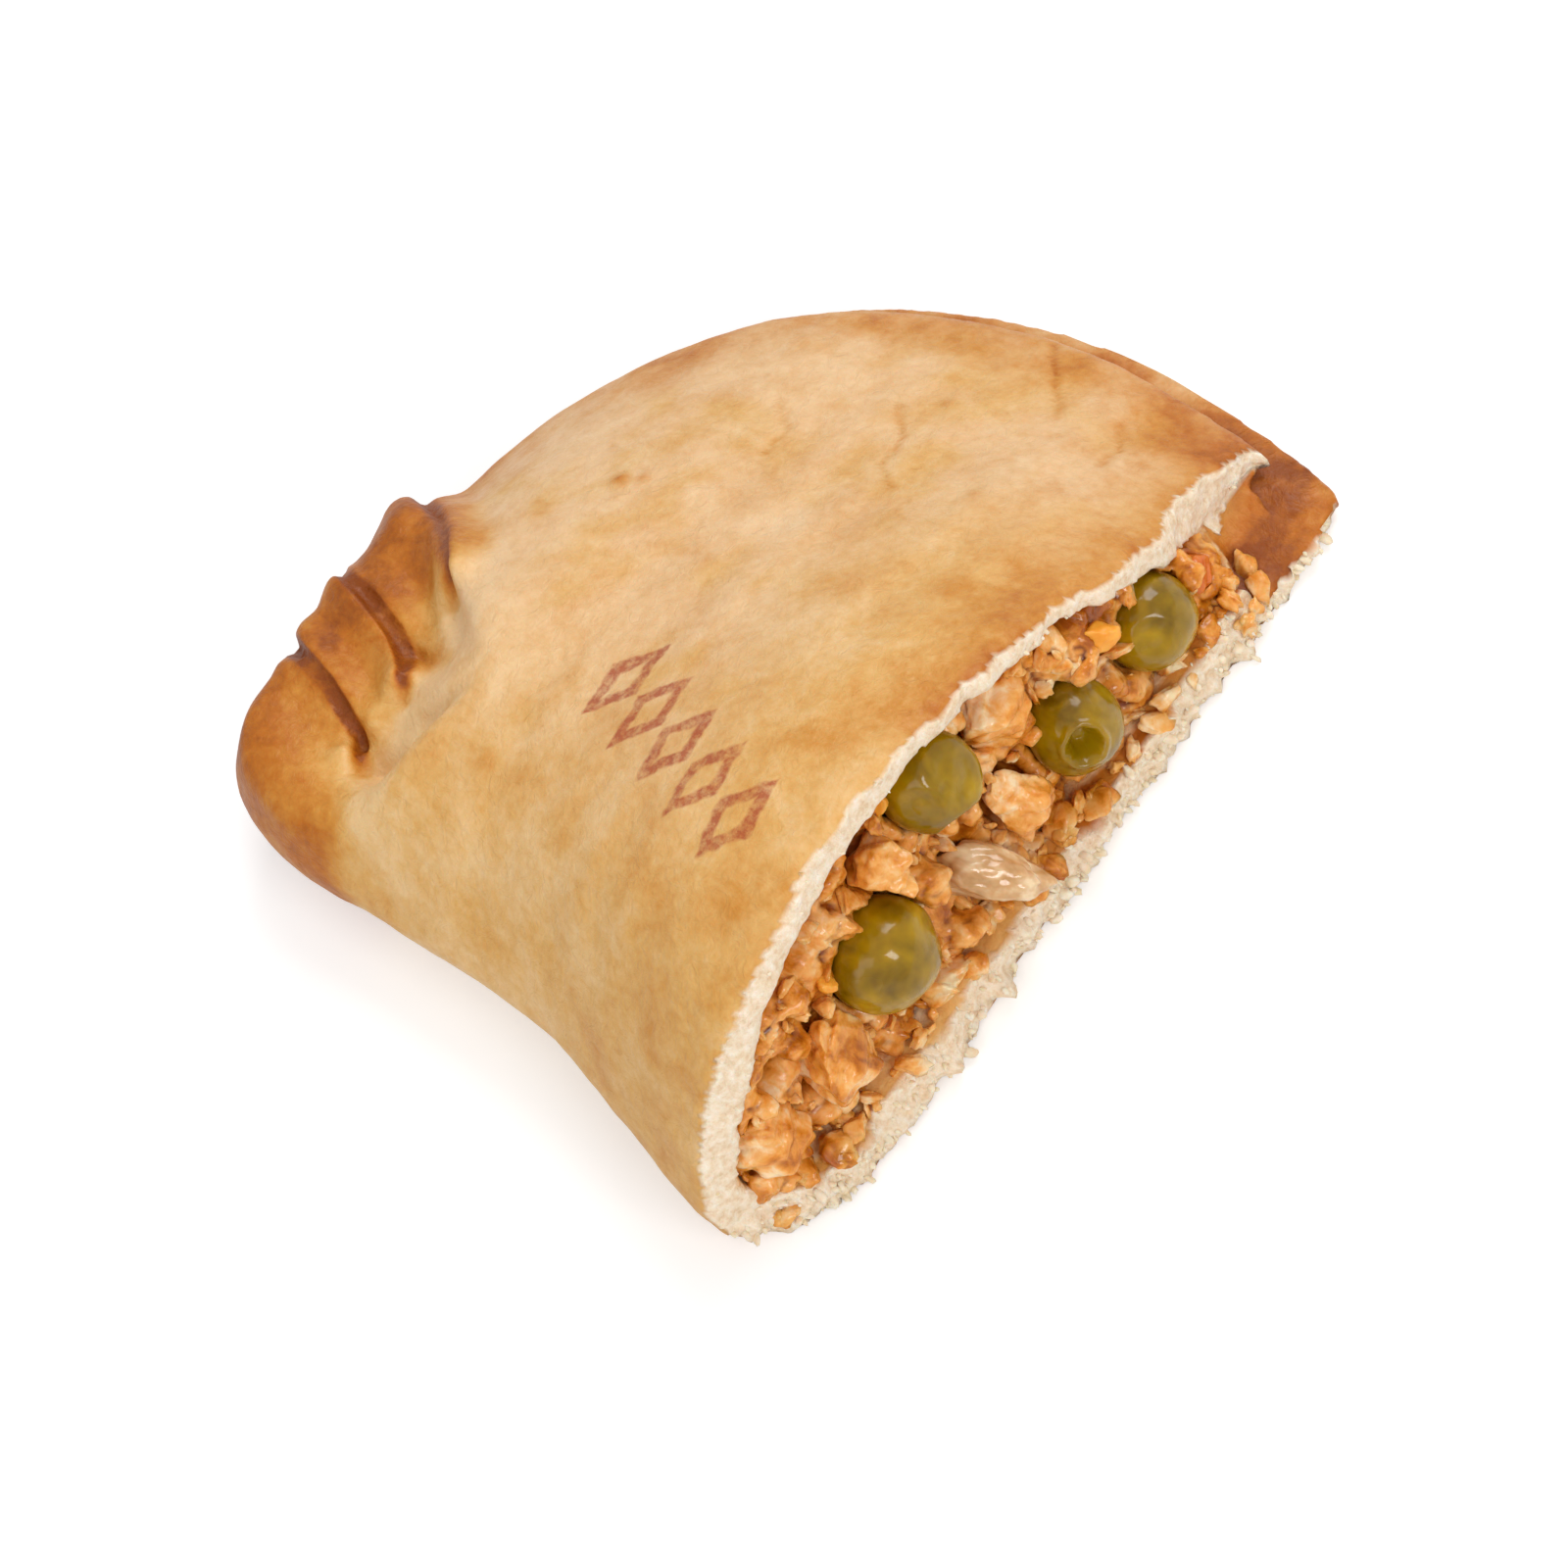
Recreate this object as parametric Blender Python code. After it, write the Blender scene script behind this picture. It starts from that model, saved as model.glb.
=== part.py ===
"""Half of a baked turnover (an empanada), torn across its middle.

The folded dough is one shell. It holds a wet filling that runs through it, with peas, fish chunks,
a piece of onion and a piece of pepper showing at the torn face.

Frame: +X from the pleated corner to the torn face, +Y from the fold to the sealed curved edge,
+Z up. The origin is under the middle of the box, on the flat base.
"""
import math

import bmesh
import bpy
from mathutils import Matrix, Vector, noise

MM = 0.001
GAP = 0.3 * MM                  # air kept between touching pieces

# Whole half, before it is centred: X = 0 at the pleated end, Y = 0 at the fold beside the corner.
CREST_HIGH = 27.0 * MM          # top of the dome at the torn face
CREST_LOW = 18.5 * MM           # top of the dome where it starts to fall to the corner
CREST_START = 21.0 * MM         # X of that place
CREST_STEP = 4.9 * MM           # spacing of the crest's points, which both sides share
CREST_Y = 23.0 * MM             # the crest runs closer to the fold than to the curved edge
TEAR_X = 59.0 * MM              # where the base dough was torn
CREST_CLIMB = 34.0 * MM         # the crest rises from CREST_LOW to CREST_HIGH over this length
OVERRUN_X = CREST_START + 10 * CREST_STEP   # the solids run this far before the tear cuts them
FOLD_BAND = (20 * MM, 36 * MM)  # Y over which the round fold changes into the sealed edge
CORNER_BAND = (8 * MM, 16 * MM)   # X over which the pleated corner changes into the plain sheet
PLEATS_FADE = (1.5 * MM, 6.5 * MM)   # Y over which they fade, past the middle of the last pleat

# Dough
TOP_DOUGH = 3.2 * MM
BASE_DOUGH = 3.9 * MM
FOLD_DOUGH = 3.6 * MM
NOSE_HEIGHT = 8.0 * MM          # widest level of the rounded fold
NOSE_INSET = 3.4 * MM           # the base starts this far in from the nose
RIM_HEIGHT = 5.2 * MM           # both layers where they are pressed together
RIM_STEP = 1.3 * MM             # the base layer sticks out past the top layer
SEAM_DEPTH = 2.2 * MM           # depth of the slit between the layers
SHOULDER = RIM_STEP + 0.7 * MM  # the dome ends this far in from the base layer's edge
RIM_PROFILE = [                 # how far in and how high, from the top layer's edge to the underside
    (SHOULDER, 5.1 * MM), (RIM_STEP + 0.1 * MM, 4.4 * MM), (RIM_STEP + 0.2 * MM, 3.4 * MM),
    (RIM_STEP + SEAM_DEPTH, 2.9 * MM), (RIM_STEP + SEAM_DEPTH, 2.5 * MM), (0.6 * MM, 2.5 * MM),
    (0.0, 1.7 * MM), (0.2 * MM, 0.7 * MM), (1.1 * MM, 0.0),
]
SEAL_WIDTH = 9.0 * MM           # pressed band before the filling starts
PLEAT_SEAL = 22.5 * MM          # the same at the pleated corner
SKIN_SWELL = 0.5 * MM           # height of the sheet's gentle unevenness
SKIN_SCALE = 95.0               # its noise per metre, so lumps are about 10 mm across

# Curves of the dome's section, each at the sealed edge and at the fold. A larger power keeps the
# middle flat for longer, and a larger fullness makes the sides sag.
DOME_POWER = (1.8, 2.4)
DOME_FULLNESS = (1.1, 0.83)
SHEET_POWER = 1.9               # the same two for the sheet pressed down behind the pleats
SHEET_FULLNESS = 1.5
HOLLOW_POWER = (2.2, 2.6)       # and for the hollow
HOLLOW_FULLNESS = 0.9
HOLLOW_EDGE = BASE_DOUGH + 1.2 * MM   # its roof comes down to here at the sealed edge
HOLLOW_ROUNDING = (0.8 * MM, 2.4 * MM)   # the curve between its wall and its floor
HOLLOW_LEAST = 2.0 * MM         # it reaches at least this far from the crest

# Pleats: thick folded fingers that lie side by side on the corner
PLEATS = [                      # middle on the outline, half width, and height as a part of PLEAT_RISE
    (12.4 * MM, 6.8 * MM, 1.0), (22.5 * MM, 3.7 * MM, 0.95), (29.7 * MM, 4.1 * MM, 0.9),
]
PLEAT_LEAN = 0.34               # Y lost for each step inward, so the fingers slant to the fold
PLEAT_LENGTH = 13.5 * MM
PLEAT_RISE = 4.9 * MM           # height of a finger above the pressed sheet
PLEAT_SHEET = 7.4 * MM          # height of the pressed sheet under and behind the fingers
PLEAT_BULGE = 1.5 * MM          # how far each finger's end pushes out of the outline
PLEAT_MIDDLE = 0.45 * PLEAT_LENGTH   # a finger is highest this far in from the edge
PLEAT_REACH = 0.62 * PLEAT_LENGTH    # and ends this far from there
PLEAT_SIDE_POWER = 2.2          # how square a finger is across and along
PLEAT_END_POWER = 3.0

# Tears
BASE_SKEW = 0.9 * MM            # the base sticks out this much further at the fold
BASE_SKEW_END = 60 * MM         # Y where that has faded
TOP_RECESS = 2.4 * MM           # the top dough is torn back by this much
RIM_RECESS = 6.2 * MM           # the same at the curved end
FOLD_RECESS = 4.2 * MM          # and over the whole height at the fold
RIM_BAND = (52 * MM, 62 * MM)   # Y over which the curved end begins
FOLD_END = 9 * MM               # Y where the fold's recess has faded
UPPER_BAND = ((3.5, 9.0), (2.2, 3.2))   # Z in mm over which base turns into top: inside, at the curved end
FILLING_RECESS = 2.6 * MM       # the filling stands back from the torn base
FILLING_HOLLOW = 3.0 * MM       # and further back under the top dough
HOLLOW_BAND = (16 * MM, 24 * MM)   # Z over which that begins
TEAR_NOISE = [(0.9 * MM, 420.0, 0.0), (0.7 * MM, 160.0, 3.0)]      # height, noise per metre, seed
FILLING_NOISE = [(1.9 * MM, 190.0, 7.0), (0.8 * MM, 430.0, 1.0)]
SHEET_Y = (-12 * MM, 84 * MM)   # the cutting sheets cover this much, past the half on all sides
SHEET_Z = (-6 * MM, 36 * MM)

# Filling
PEA_RADIUS = 4.2 * MM
CHUNK_RADIUS = 3.3 * MM
ONION_RADIUS = 2.0 * MM
PEPPER_RADIUS = 1.7 * MM
PIECES = [                      # name, middle in mm, radii as parts of its kind's radius, turn, unevenness
    ("pea_1", (57.0, 20.2, 12.3), (1.0, 1.0, 0.96), (0, 0, 0), 0.05),
    ("pea_2", (55.4, 30.9, 18.4), (0.95, 0.9, 0.9), (0, 20, 0), 0.14),
    ("pea_3", (57.4, 41.4, 10.2), (0.86, 0.84, 0.86), (0, 0, 0), 0.08),
    ("pea_4", (56.2, 51.0, 8.3), (0.8, 0.84, 0.84), (0, 0, 0), 0.1),
    ("fish_chunk_1", (56.0, 24.3, 17.8), (0.9, 0.65, 0.75), (20, 0, 10), 0.16),
    ("fish_chunk_2", (55.2, 37.4, 17.2), (0.8, 0.8, 0.8), (0, 30, 0), 0.16),
    ("fish_chunk_3", (57.2, 34.7, 10.0), (0.9, 0.72, 1.1), (0, 0, 0), 0.16),
    ("fish_chunk_4", (57.6, 12.4, 9.5), (0.8, 0.72, 1.25), (-30, 0, 0), 0.16),
    ("fish_chunk_5", (56.2, 5.9, 8.3), (0.9, 0.85, 1.0), (0, 0, 10), 0.16),
    ("onion_piece", (58.0, 29.4, 9.3), (1.8, 0.95, 1.0), (0, 24, 32), 0.12),
    ("pepper_piece", (55.6, 56.0, 6.5), (1.0, 0.82, 0.59), (0, 0, 60), 0.12),
]
LUMP_SIDES = 12                 # facets round a lump
PEPPER_SIDES = 9
LUMP_SCALE = 1.7                # noise across a lump's radius
SEAT_MARGIN = 1.3 * GAP         # a seat is cut this much larger than its lump, which has flat facets

# Spacing of the sections, and how many rows each has
PLEAT_SPACING = 1.3 * MM
PLAIN_SPACING = 2.6 * MM
OUTER_ROWS = 13
HOLLOW_PLEAT_SPACING = 4.0 * MM
HOLLOW_SPACING = 4.5 * MM
HOLLOW_ROWS = 8
ROUTE_STEPS = 1500              # points walked along the outline to find them

OUTLINE = [                     # plan of the half in mm, from the fold round the corner to the curved edge
    (70, -2.6), (57, -1.6), (46, 1.6), (33, 4.8), (20, 5.4), (8.5, 6.2), (2.4, 9.2), (0.1, 16),
    (-0.1, 26), (-0.9, 36), (3.5, 49.2), (12.8, 60.2), (26, 66.9), (42, 69.2), (57, 67.4), (70, 63),
]

DOUGH_COLOUR = (0.72, 0.47, 0.22)
FILLING_COLOUR = (0.72, 0.27, 0.06)
PEA_COLOUR = (0.30, 0.27, 0.02)
CHUNK_COLOUR = (0.80, 0.38, 0.12)
ONION_COLOUR = (0.72, 0.52, 0.36)
PEPPER_COLOUR = (0.62, 0.13, 0.02)


def material(name, colour, roughness):
    """A Principled material with a flat colour."""
    made = bpy.data.materials.new(name)
    made.use_nodes = True
    shader = made.node_tree.nodes["Principled BSDF"]
    shader.inputs["Base Color"].default_value = (*colour, 1.0)
    shader.inputs["Roughness"].default_value = roughness
    shader.inputs["Metallic"].default_value = 0.0
    made.diffuse_color = (*colour, 1.0)
    return made


def collection(name):
    """A new collection in the scene."""
    made = bpy.data.collections.new(name)
    bpy.context.scene.collection.children.link(made)
    return made


def add_object(name, mesh_data, group, finish=None):
    """Turn a bmesh into a named object, with its faces pointing out."""
    bmesh.ops.recalc_face_normals(mesh_data, faces=mesh_data.faces)
    mesh = bpy.data.meshes.new(name)
    mesh_data.to_mesh(mesh)
    mesh_data.free()
    made = bpy.data.objects.new(name, mesh)
    group.objects.link(made)
    if finish:
        mesh.materials.append(finish)
        mesh.shade_smooth()
        mesh.set_sharp_from_angle(angle=math.radians(40))
    else:
        made.hide_render = True
        made.display_type = "WIRE"
    return made


def smooth_step(low, high, value):
    """0 below low, 1 above high, and a smooth rise between them."""
    t = min(max((value - low) / (high - low), 0.0), 1.0)
    return t * t * (3.0 - 2.0 * t)


def lerp(start, end, t):
    """The value a part t of the way from start to end."""
    return start + (end - start) * t


def curve_point(points, t):
    """A point on the smooth (Catmull-Rom) curve through the points, for t from 0 to 1."""
    spans = len(points) - 1
    span = min(int(t * spans), spans - 1)
    local = t * spans - span
    p1 = Vector(points[span])
    p2 = Vector(points[span + 1])
    p0 = Vector(points[span - 1]) if span > 0 else 2.0 * p1 - p2
    p3 = Vector(points[span + 2]) if span + 2 <= spans else 2.0 * p2 - p1
    a = 2.0 * p1
    b = p2 - p0
    c = 2.0 * p0 - 5.0 * p1 + 4.0 * p2 - p3
    d = 3.0 * p1 - p0 - 3.0 * p2 + p3
    return 0.5 * (a + b * local + c * local ** 2 + d * local ** 3)


def outline_stations(pleat_spacing, plain_spacing):
    """Places along the outline, closer together on the pleated corner."""
    route = [curve_point(OUTLINE, i / ROUTE_STEPS) * MM for i in range(ROUTE_STEPS + 1)]
    stations = [route[0]]
    travelled = 0.0
    for before, after in zip(route, route[1:]):
        travelled += (after - before).length
        wanted = pleat_spacing if pleat_weight(after) > 0.02 else plain_spacing
        if travelled >= wanted:
            stations.append(after)
            travelled = 0.0
    stations[-1] = route[-1]
    return stations


def pleat_weight(place):
    """1 on the pleated corner of the outline, 0 along the fold and the curved edge."""
    last = PLEATS[-1][0]
    near_end = 1.0 - smooth_step(*CORNER_BAND, place.x)
    before_rim = 1.0 - smooth_step(last + PLEATS_FADE[0], last + PLEATS_FADE[1], place.y)
    return near_end * before_rim


def fold_weight(place):
    """1 along the fold, 0 along the curved edge."""
    return 1.0 - smooth_step(*FOLD_BAND, place.y)


def crest_point(place):
    """The point of the crest line that a station's section starts from."""
    step = round(max(place.x - CREST_START, 0.0) / CREST_STEP)
    return Vector((CREST_START + step * CREST_STEP, CREST_Y))


def crest_height(x):
    """Height of the dome along its crest."""
    return lerp(CREST_LOW, CREST_HIGH, smooth_step(CREST_START, CREST_START + CREST_CLIMB, x))


def finger(spot, inward):
    """Height of the pleats over a place, as a part of PLEAT_RISE, at a distance from the edge."""
    slanted = spot.y + PLEAT_LEAN * spot.x
    along = (inward - PLEAT_MIDDLE) / PLEAT_REACH
    rise = 0.0
    for middle, half_width, height in PLEATS:
        across = (slanted - middle) / half_width
        inside = 1.0 - abs(across) ** PLEAT_SIDE_POWER - abs(along) ** PLEAT_END_POWER
        if inside > 0.0:
            rise = max(rise, height * inside ** 0.5)
    return rise


def outer_section(place, rows):
    """One section of the outside, from the crest over the edge to the base."""
    crest = crest_point(place)
    outward = place - crest
    length = outward.length
    outward = outward / length
    pleat = pleat_weight(place)
    fold = fold_weight(place)
    high = crest_height(crest.x)
    push = PLEAT_BULGE * (finger(place, PLEAT_MIDDLE) - 0.5) * pleat
    length += push

    shoulder = lerp(SHOULDER, 0.0, fold)
    edge_height = lerp(RIM_HEIGHT, NOSE_HEIGHT, fold)
    power = lerp(*DOME_POWER, fold)
    fullness = lerp(*DOME_FULLNESS, fold)
    sheet_start = max(length - 0.75 * PLEAT_LENGTH, 0.3 * length)

    points = []
    for row in range(rows):
        rho = row / rows
        out = rho * (length - shoulder)
        plain = edge_height + (high - edge_height) * (1.0 - rho ** power) ** fullness
        drop = min(out / sheet_start, 1.0)
        pressed = PLEAT_SHEET + (high - PLEAT_SHEET) * (1.0 - drop ** SHEET_POWER) ** SHEET_FULLNESS
        spot = crest + outward * out
        pressed += PLEAT_RISE * finger(spot, length - out)
        height = lerp(plain, pressed, pleat)
        height += SKIN_SWELL * smooth_step(0.0, 0.3, rho) * noise.noise(Vector((*spot, 0.0)) * SKIN_SCALE)
        points.append(Vector((*spot, height)))

    nose_height = lerp(edge_height, PLEAT_SHEET + 0.25 * PLEAT_RISE * finger(place, 0.0), pleat)
    round_weight = max(fold, pleat)
    for index, (inset, height) in enumerate(RIM_PROFILE):
        angle = 0.5 * math.pi * index / (len(RIM_PROFILE) - 1)
        nose_inset = NOSE_INSET * (1.0 - math.cos(angle))
        nose_z = nose_height * (1.0 - math.sin(angle))
        spot = crest + outward * (length - lerp(inset, nose_inset, round_weight))
        points.append(Vector((*spot, lerp(height, nose_z, round_weight))))
    return points


def inner_section(place, rows, gap):
    """One section of the hollow in the dough, smaller by a gap for the filling in it."""
    crest = crest_point(place)
    outward = place - crest
    seal = lerp(SEAL_WIDTH, FOLD_DOUGH, fold_weight(place))
    seal = lerp(seal, PLEAT_SEAL, pleat_weight(place))
    length = max(outward.length - seal, HOLLOW_LEAST) - gap
    outward = outward.normalized()
    fold = fold_weight(place)
    floor = BASE_DOUGH + gap
    high = crest_height(crest.x) - TOP_DOUGH - gap
    edge_height = lerp(HOLLOW_EDGE, NOSE_HEIGHT, fold)
    power = lerp(*HOLLOW_POWER, fold)
    points = []
    for row in range(rows):
        rho = row / rows
        spot = crest + outward * (rho * length)
        height = edge_height + (high - edge_height) * (1.0 - rho ** power) ** HOLLOW_FULLNESS
        points.append(Vector((*spot, height)))
    for angle in (0.0, 45.0, 90.0):
        turn = math.radians(angle)
        inset = lerp(*HOLLOW_ROUNDING, fold) * (1.0 - math.cos(turn))
        spot = crest + outward * (length - inset)
        points.append(Vector((*spot, lerp(edge_height, floor, math.sin(turn)))))
    return points


def loft(sections):
    """A closed body through sections that share their first point, with a flat base and end."""
    mesh_data = bmesh.new()
    columns = [[mesh_data.verts.new(point) for point in section] for section in sections]
    for left, right in zip(columns, columns[1:]):
        for row in range(len(left) - 1):
            mesh_data.faces.new((left[row], left[row + 1], right[row + 1], right[row]))
    mesh_data.faces.new([column[-1] for column in columns])
    mesh_data.faces.new(columns[0][::-1] + columns[-1][1:])
    bmesh.ops.remove_doubles(mesh_data, verts=mesh_data.verts, dist=0.02 * MM)
    bmesh.ops.dissolve_degenerate(mesh_data, edges=mesh_data.edges, dist=0.01 * MM)
    bmesh.ops.triangulate(mesh_data, faces=mesh_data.faces, quad_method="FIXED")
    return mesh_data


def ragged_cutter(name, face_x, columns, rows, group):
    """A block whose near face is a rough sheet, to cut away what is past the tear."""
    mesh_data = bmesh.new()
    bmesh.ops.create_grid(mesh_data, x_segments=columns, y_segments=rows, size=0.5)
    for vert in mesh_data.verts:
        y = lerp(*SHEET_Y, vert.co.x + 0.5)
        z = lerp(*SHEET_Z, vert.co.y + 0.5)
        vert.co = Vector((face_x(y, z), y, z))
    near = list(mesh_data.faces)
    made = bmesh.ops.extrude_face_region(mesh_data, geom=near, use_keep_orig=True)
    for item in made["geom"]:
        if isinstance(item, bmesh.types.BMVert):
            item.co.x = OVERRUN_X + 12 * MM
    return add_object(name, mesh_data, group)


def roughness_at(y, z, layers):
    """How far a torn face stands out at a place: layers of noise added up."""
    total = 0.0
    for height, scale, seed in layers:
        total += height * noise.noise(Vector((seed, y * scale, z * scale)))
    return total


def dough_tear(y, z):
    """X of the torn dough: the base sticks out, and the top is torn back at the curved end."""
    base = TEAR_X + BASE_SKEW * (1.0 - smooth_step(0.0, BASE_SKEW_END, y))
    at_rim = smooth_step(*RIM_BAND, y)
    at_fold = 1.0 - smooth_step(0.0, FOLD_END, y)
    inside, at_end = UPPER_BAND
    upper = smooth_step(lerp(inside[0], at_end[0], at_rim) * MM, lerp(inside[1], at_end[1], at_rim) * MM, z)
    recess = lerp(TOP_RECESS, RIM_RECESS, at_rim) * upper * (1.0 - at_fold) + FOLD_RECESS * at_fold
    return base - recess + roughness_at(y, z, TEAR_NOISE)


def filling_tear(y, z):
    """X of the torn filling: lumpy, and hollowed out under the top dough."""
    hollow = FILLING_HOLLOW * smooth_step(*HOLLOW_BAND, z)
    return TEAR_X - FILLING_RECESS - hollow + roughness_at(y, z, FILLING_NOISE)


def chunk(name, centre, radii, turn, rough, sides, seed, finish, group):
    """A lump: a sphere stretched, turned and made uneven by noise."""
    mesh_data = bmesh.new()
    bmesh.ops.create_uvsphere(mesh_data, u_segments=sides, v_segments=sides * 2 // 3, radius=1.0)
    rotation = Matrix.Rotation(math.radians(turn[0]), 3, "X")
    rotation = Matrix.Rotation(math.radians(turn[1]), 3, "Y") @ rotation
    rotation = Matrix.Rotation(math.radians(turn[2]), 3, "Z") @ rotation
    for vert in mesh_data.verts:
        bump = 1.0 + rough * noise.noise(vert.co * LUMP_SCALE + Vector((seed, 0.0, 0.0)))
        local = Vector((vert.co.x * radii[0], vert.co.y * radii[1], vert.co.z * radii[2]))
        vert.co = Vector(centre) * MM + rotation @ local * bump
    return add_object(name, mesh_data, group, finish)


def seat(target, lump, group):
    """Cut a hollow for a lump into a piece, larger than the lump by the gap."""
    mesh_data = bmesh.new()
    mesh_data.from_mesh(lump.data)
    middle = sum((vert.co for vert in mesh_data.verts), Vector()) / len(mesh_data.verts)
    for vert in mesh_data.verts:
        away = vert.co - middle
        vert.co += away.normalized() * SEAT_MARGIN
    cut(target, add_object(lump.name + "_seat", mesh_data, group))


def cut(target, cutter):
    """Take the cutter away from the target with a live Boolean."""
    step = target.modifiers.new("cut_" + cutter.name, "BOOLEAN")
    step.operation = "DIFFERENCE"
    step.solver = "EXACT"
    step.object = cutter


def hollow_sections(gap):
    """All sections of the hollow, smaller by a gap for the filling in it."""
    stations = outline_stations(HOLLOW_PLEAT_SPACING, HOLLOW_SPACING)
    return [inner_section(place, HOLLOW_ROWS, gap) for place in stations]


def build_dough(parts, cutters):
    """The folded dough: the outside loft, less the hollow and what was torn off."""
    outer = [outer_section(place, OUTER_ROWS) for place in outline_stations(PLEAT_SPACING, PLAIN_SPACING)]
    inner = hollow_sections(0.0)
    finish = material("baked_dough", DOUGH_COLOUR, 0.55)
    dough = add_object("dough", loft(outer), parts, finish)
    cut(dough, add_object("hollow", loft(inner), cutters))
    cut(dough, ragged_cutter("dough_tear_block", dough_tear, 44, 22, cutters))
    return dough


def build_filling(parts, cutters):
    """The filling that runs through the hollow."""
    finish = material("tomato_filling", FILLING_COLOUR, 0.35)
    filling = add_object("filling", loft(hollow_sections(GAP)), parts, finish)
    cut(filling, ragged_cutter("filling_tear_block", filling_tear, 34, 14, cutters))
    return filling


def build_pieces(parts):
    """What sits in the torn face of the filling: peas, fish, onion and pepper."""
    kinds = {                   # finish, radius and facets of each kind of piece
        "pea": (material("cooked_pea", PEA_COLOUR, 0.3), PEA_RADIUS, LUMP_SIDES),
        "fish": (material("fish_chunk", CHUNK_COLOUR, 0.45), CHUNK_RADIUS, LUMP_SIDES),
        "onion": (material("soft_onion", ONION_COLOUR, 0.2), ONION_RADIUS, LUMP_SIDES),
        "pepper": (material("red_pepper", PEPPER_COLOUR, 0.3), PEPPER_RADIUS, PEPPER_SIDES),
    }
    lumps = []
    for seed, (name, centre, shape, turn, rough) in enumerate(PIECES, 1):
        finish, radius, sides = kinds[name.split("_")[0]]
        radii = [part * radius for part in shape]
        lumps.append(chunk(name, centre, radii, turn, rough, sides, seed, finish, parts))
    return lumps


def centre_on_origin(groups):
    """Move every mesh so that the half stands on the ground with its box centred on Z."""
    bpy.context.view_layer.update()
    graph = bpy.context.evaluated_depsgraph_get()
    corners = []
    for made in groups[0].objects:
        corners += [made.evaluated_get(graph).matrix_world @ Vector(corner)
                    for corner in made.evaluated_get(graph).bound_box]
    low = [min(corner[axis] for corner in corners) for axis in range(3)]
    high = [max(corner[axis] for corner in corners) for axis in range(3)]
    shift = Vector((-0.5 * (low[0] + high[0]), -0.5 * (low[1] + high[1]), -low[2]))
    for group in groups:
        for made in group.objects:
            made.data.transform(Matrix.Translation(shift))
    print("box mm", [round((high[axis] - low[axis]) / MM, 2) for axis in range(3)],
          "shift mm", [round(value / MM, 2) for value in shift])


def main():
    """Clear the scene and build the half."""
    for item in list(bpy.data.objects):
        bpy.data.objects.remove(item, do_unlink=True)
    parts = collection("half_empanada")
    cutters = collection("cutters")
    build_dough(parts, cutters)
    filling = build_filling(parts, cutters)
    for lump in build_pieces(parts):
        seat(filling, lump, cutters)
    centre_on_origin([parts, cutters])


main()
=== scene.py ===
# %% [markdown]
# # Half an empanada, torn across
# The object is one half of a baked turnover: a folded sheet of dough with three thick pleats on its
# corner, torn open so that a wet filling of fish, peas and onion shows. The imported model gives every
# size and place. This lesson gives each of its pieces the surface that the real food has.

# %% Load the frame
import math
import random

import bmesh
import bpy
import numpy as np
from mathutils import Matrix, Vector, noise
from mathutils.bvhtree import BVHTree
from mathutils.kdtree import KDTree


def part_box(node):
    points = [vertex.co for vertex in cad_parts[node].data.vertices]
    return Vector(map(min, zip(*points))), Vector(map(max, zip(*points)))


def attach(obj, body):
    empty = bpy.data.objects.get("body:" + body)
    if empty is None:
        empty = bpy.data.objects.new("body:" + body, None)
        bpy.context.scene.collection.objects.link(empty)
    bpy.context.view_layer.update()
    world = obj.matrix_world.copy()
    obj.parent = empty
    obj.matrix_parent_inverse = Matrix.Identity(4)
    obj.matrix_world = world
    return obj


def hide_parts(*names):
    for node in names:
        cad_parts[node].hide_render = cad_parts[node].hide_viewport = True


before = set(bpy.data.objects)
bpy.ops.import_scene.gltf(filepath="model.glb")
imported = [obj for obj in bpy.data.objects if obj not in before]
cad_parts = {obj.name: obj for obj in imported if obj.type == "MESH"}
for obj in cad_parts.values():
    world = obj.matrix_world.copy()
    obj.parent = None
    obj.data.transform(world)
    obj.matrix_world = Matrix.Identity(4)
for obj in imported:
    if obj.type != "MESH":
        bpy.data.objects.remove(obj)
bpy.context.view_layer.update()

MM = 0.001
print("nodes:", sorted(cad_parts))

# %% [markdown]
# A few places are used again and again: where the torn face is, how high the crust stands, and where
# the fold and the curved edge lie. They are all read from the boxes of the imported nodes, so the looks
# follow the model if it changes.

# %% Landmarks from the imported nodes
dough_low, dough_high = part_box("dough")
filling_low, filling_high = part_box("filling")
TEAR_X = dough_high.x                  # the torn face looks along +X
CORNER_X = dough_low.x                 # the pleated corner
FOLD_Y = dough_low.y                   # the rounded fold
RIM_Y = dough_high.y                   # the sealed, curved edge
TOP_Z = dough_high.z
PLAN = Vector((CORNER_X + 1.4 * MM, FOLD_Y + 1.25 * MM))   # where the corner and the fold would cross
print("torn face at x =", round(TEAR_X / MM, 1), "mm, fold at y =", round(FOLD_Y / MM, 1), "mm")

# %% Small helpers for shapes
def smooth_step(low, high, value):
    """0 at low, 1 at high, and a smooth change between them. Low may be the larger of the two."""
    t = min(max((value - low) / (high - low), 0.0), 1.0)
    return t * t * (3.0 - 2.0 * t)


def mix(a, b, t):
    """The value a part t of the way from a to b."""
    return a + (b - a) * t


def bell(value, width):
    """1 where the value or array is 0, falling to almost 0 at twice the width."""
    return np.exp(-(value / width) ** 2)


def grain(place, size, seed=0.0):
    """Smooth noise from about -1 to 1, whose lumps are roughly size across."""
    return noise.noise(place / size + Vector((seed, 1.7 * seed, 0.6 * seed)))


def layered(place, layers):
    """Several layers of noise added up, each given as (height, size, seed)."""
    return sum(height * grain(place, size, seed) for height, size, seed in layers)


def new_object(name, mesh):
    """An object at the origin for a finished mesh, shaded smooth."""
    made = bpy.data.objects.new(name, mesh)
    bpy.context.scene.collection.objects.link(made)
    mesh.shade_smooth()
    return made


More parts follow.
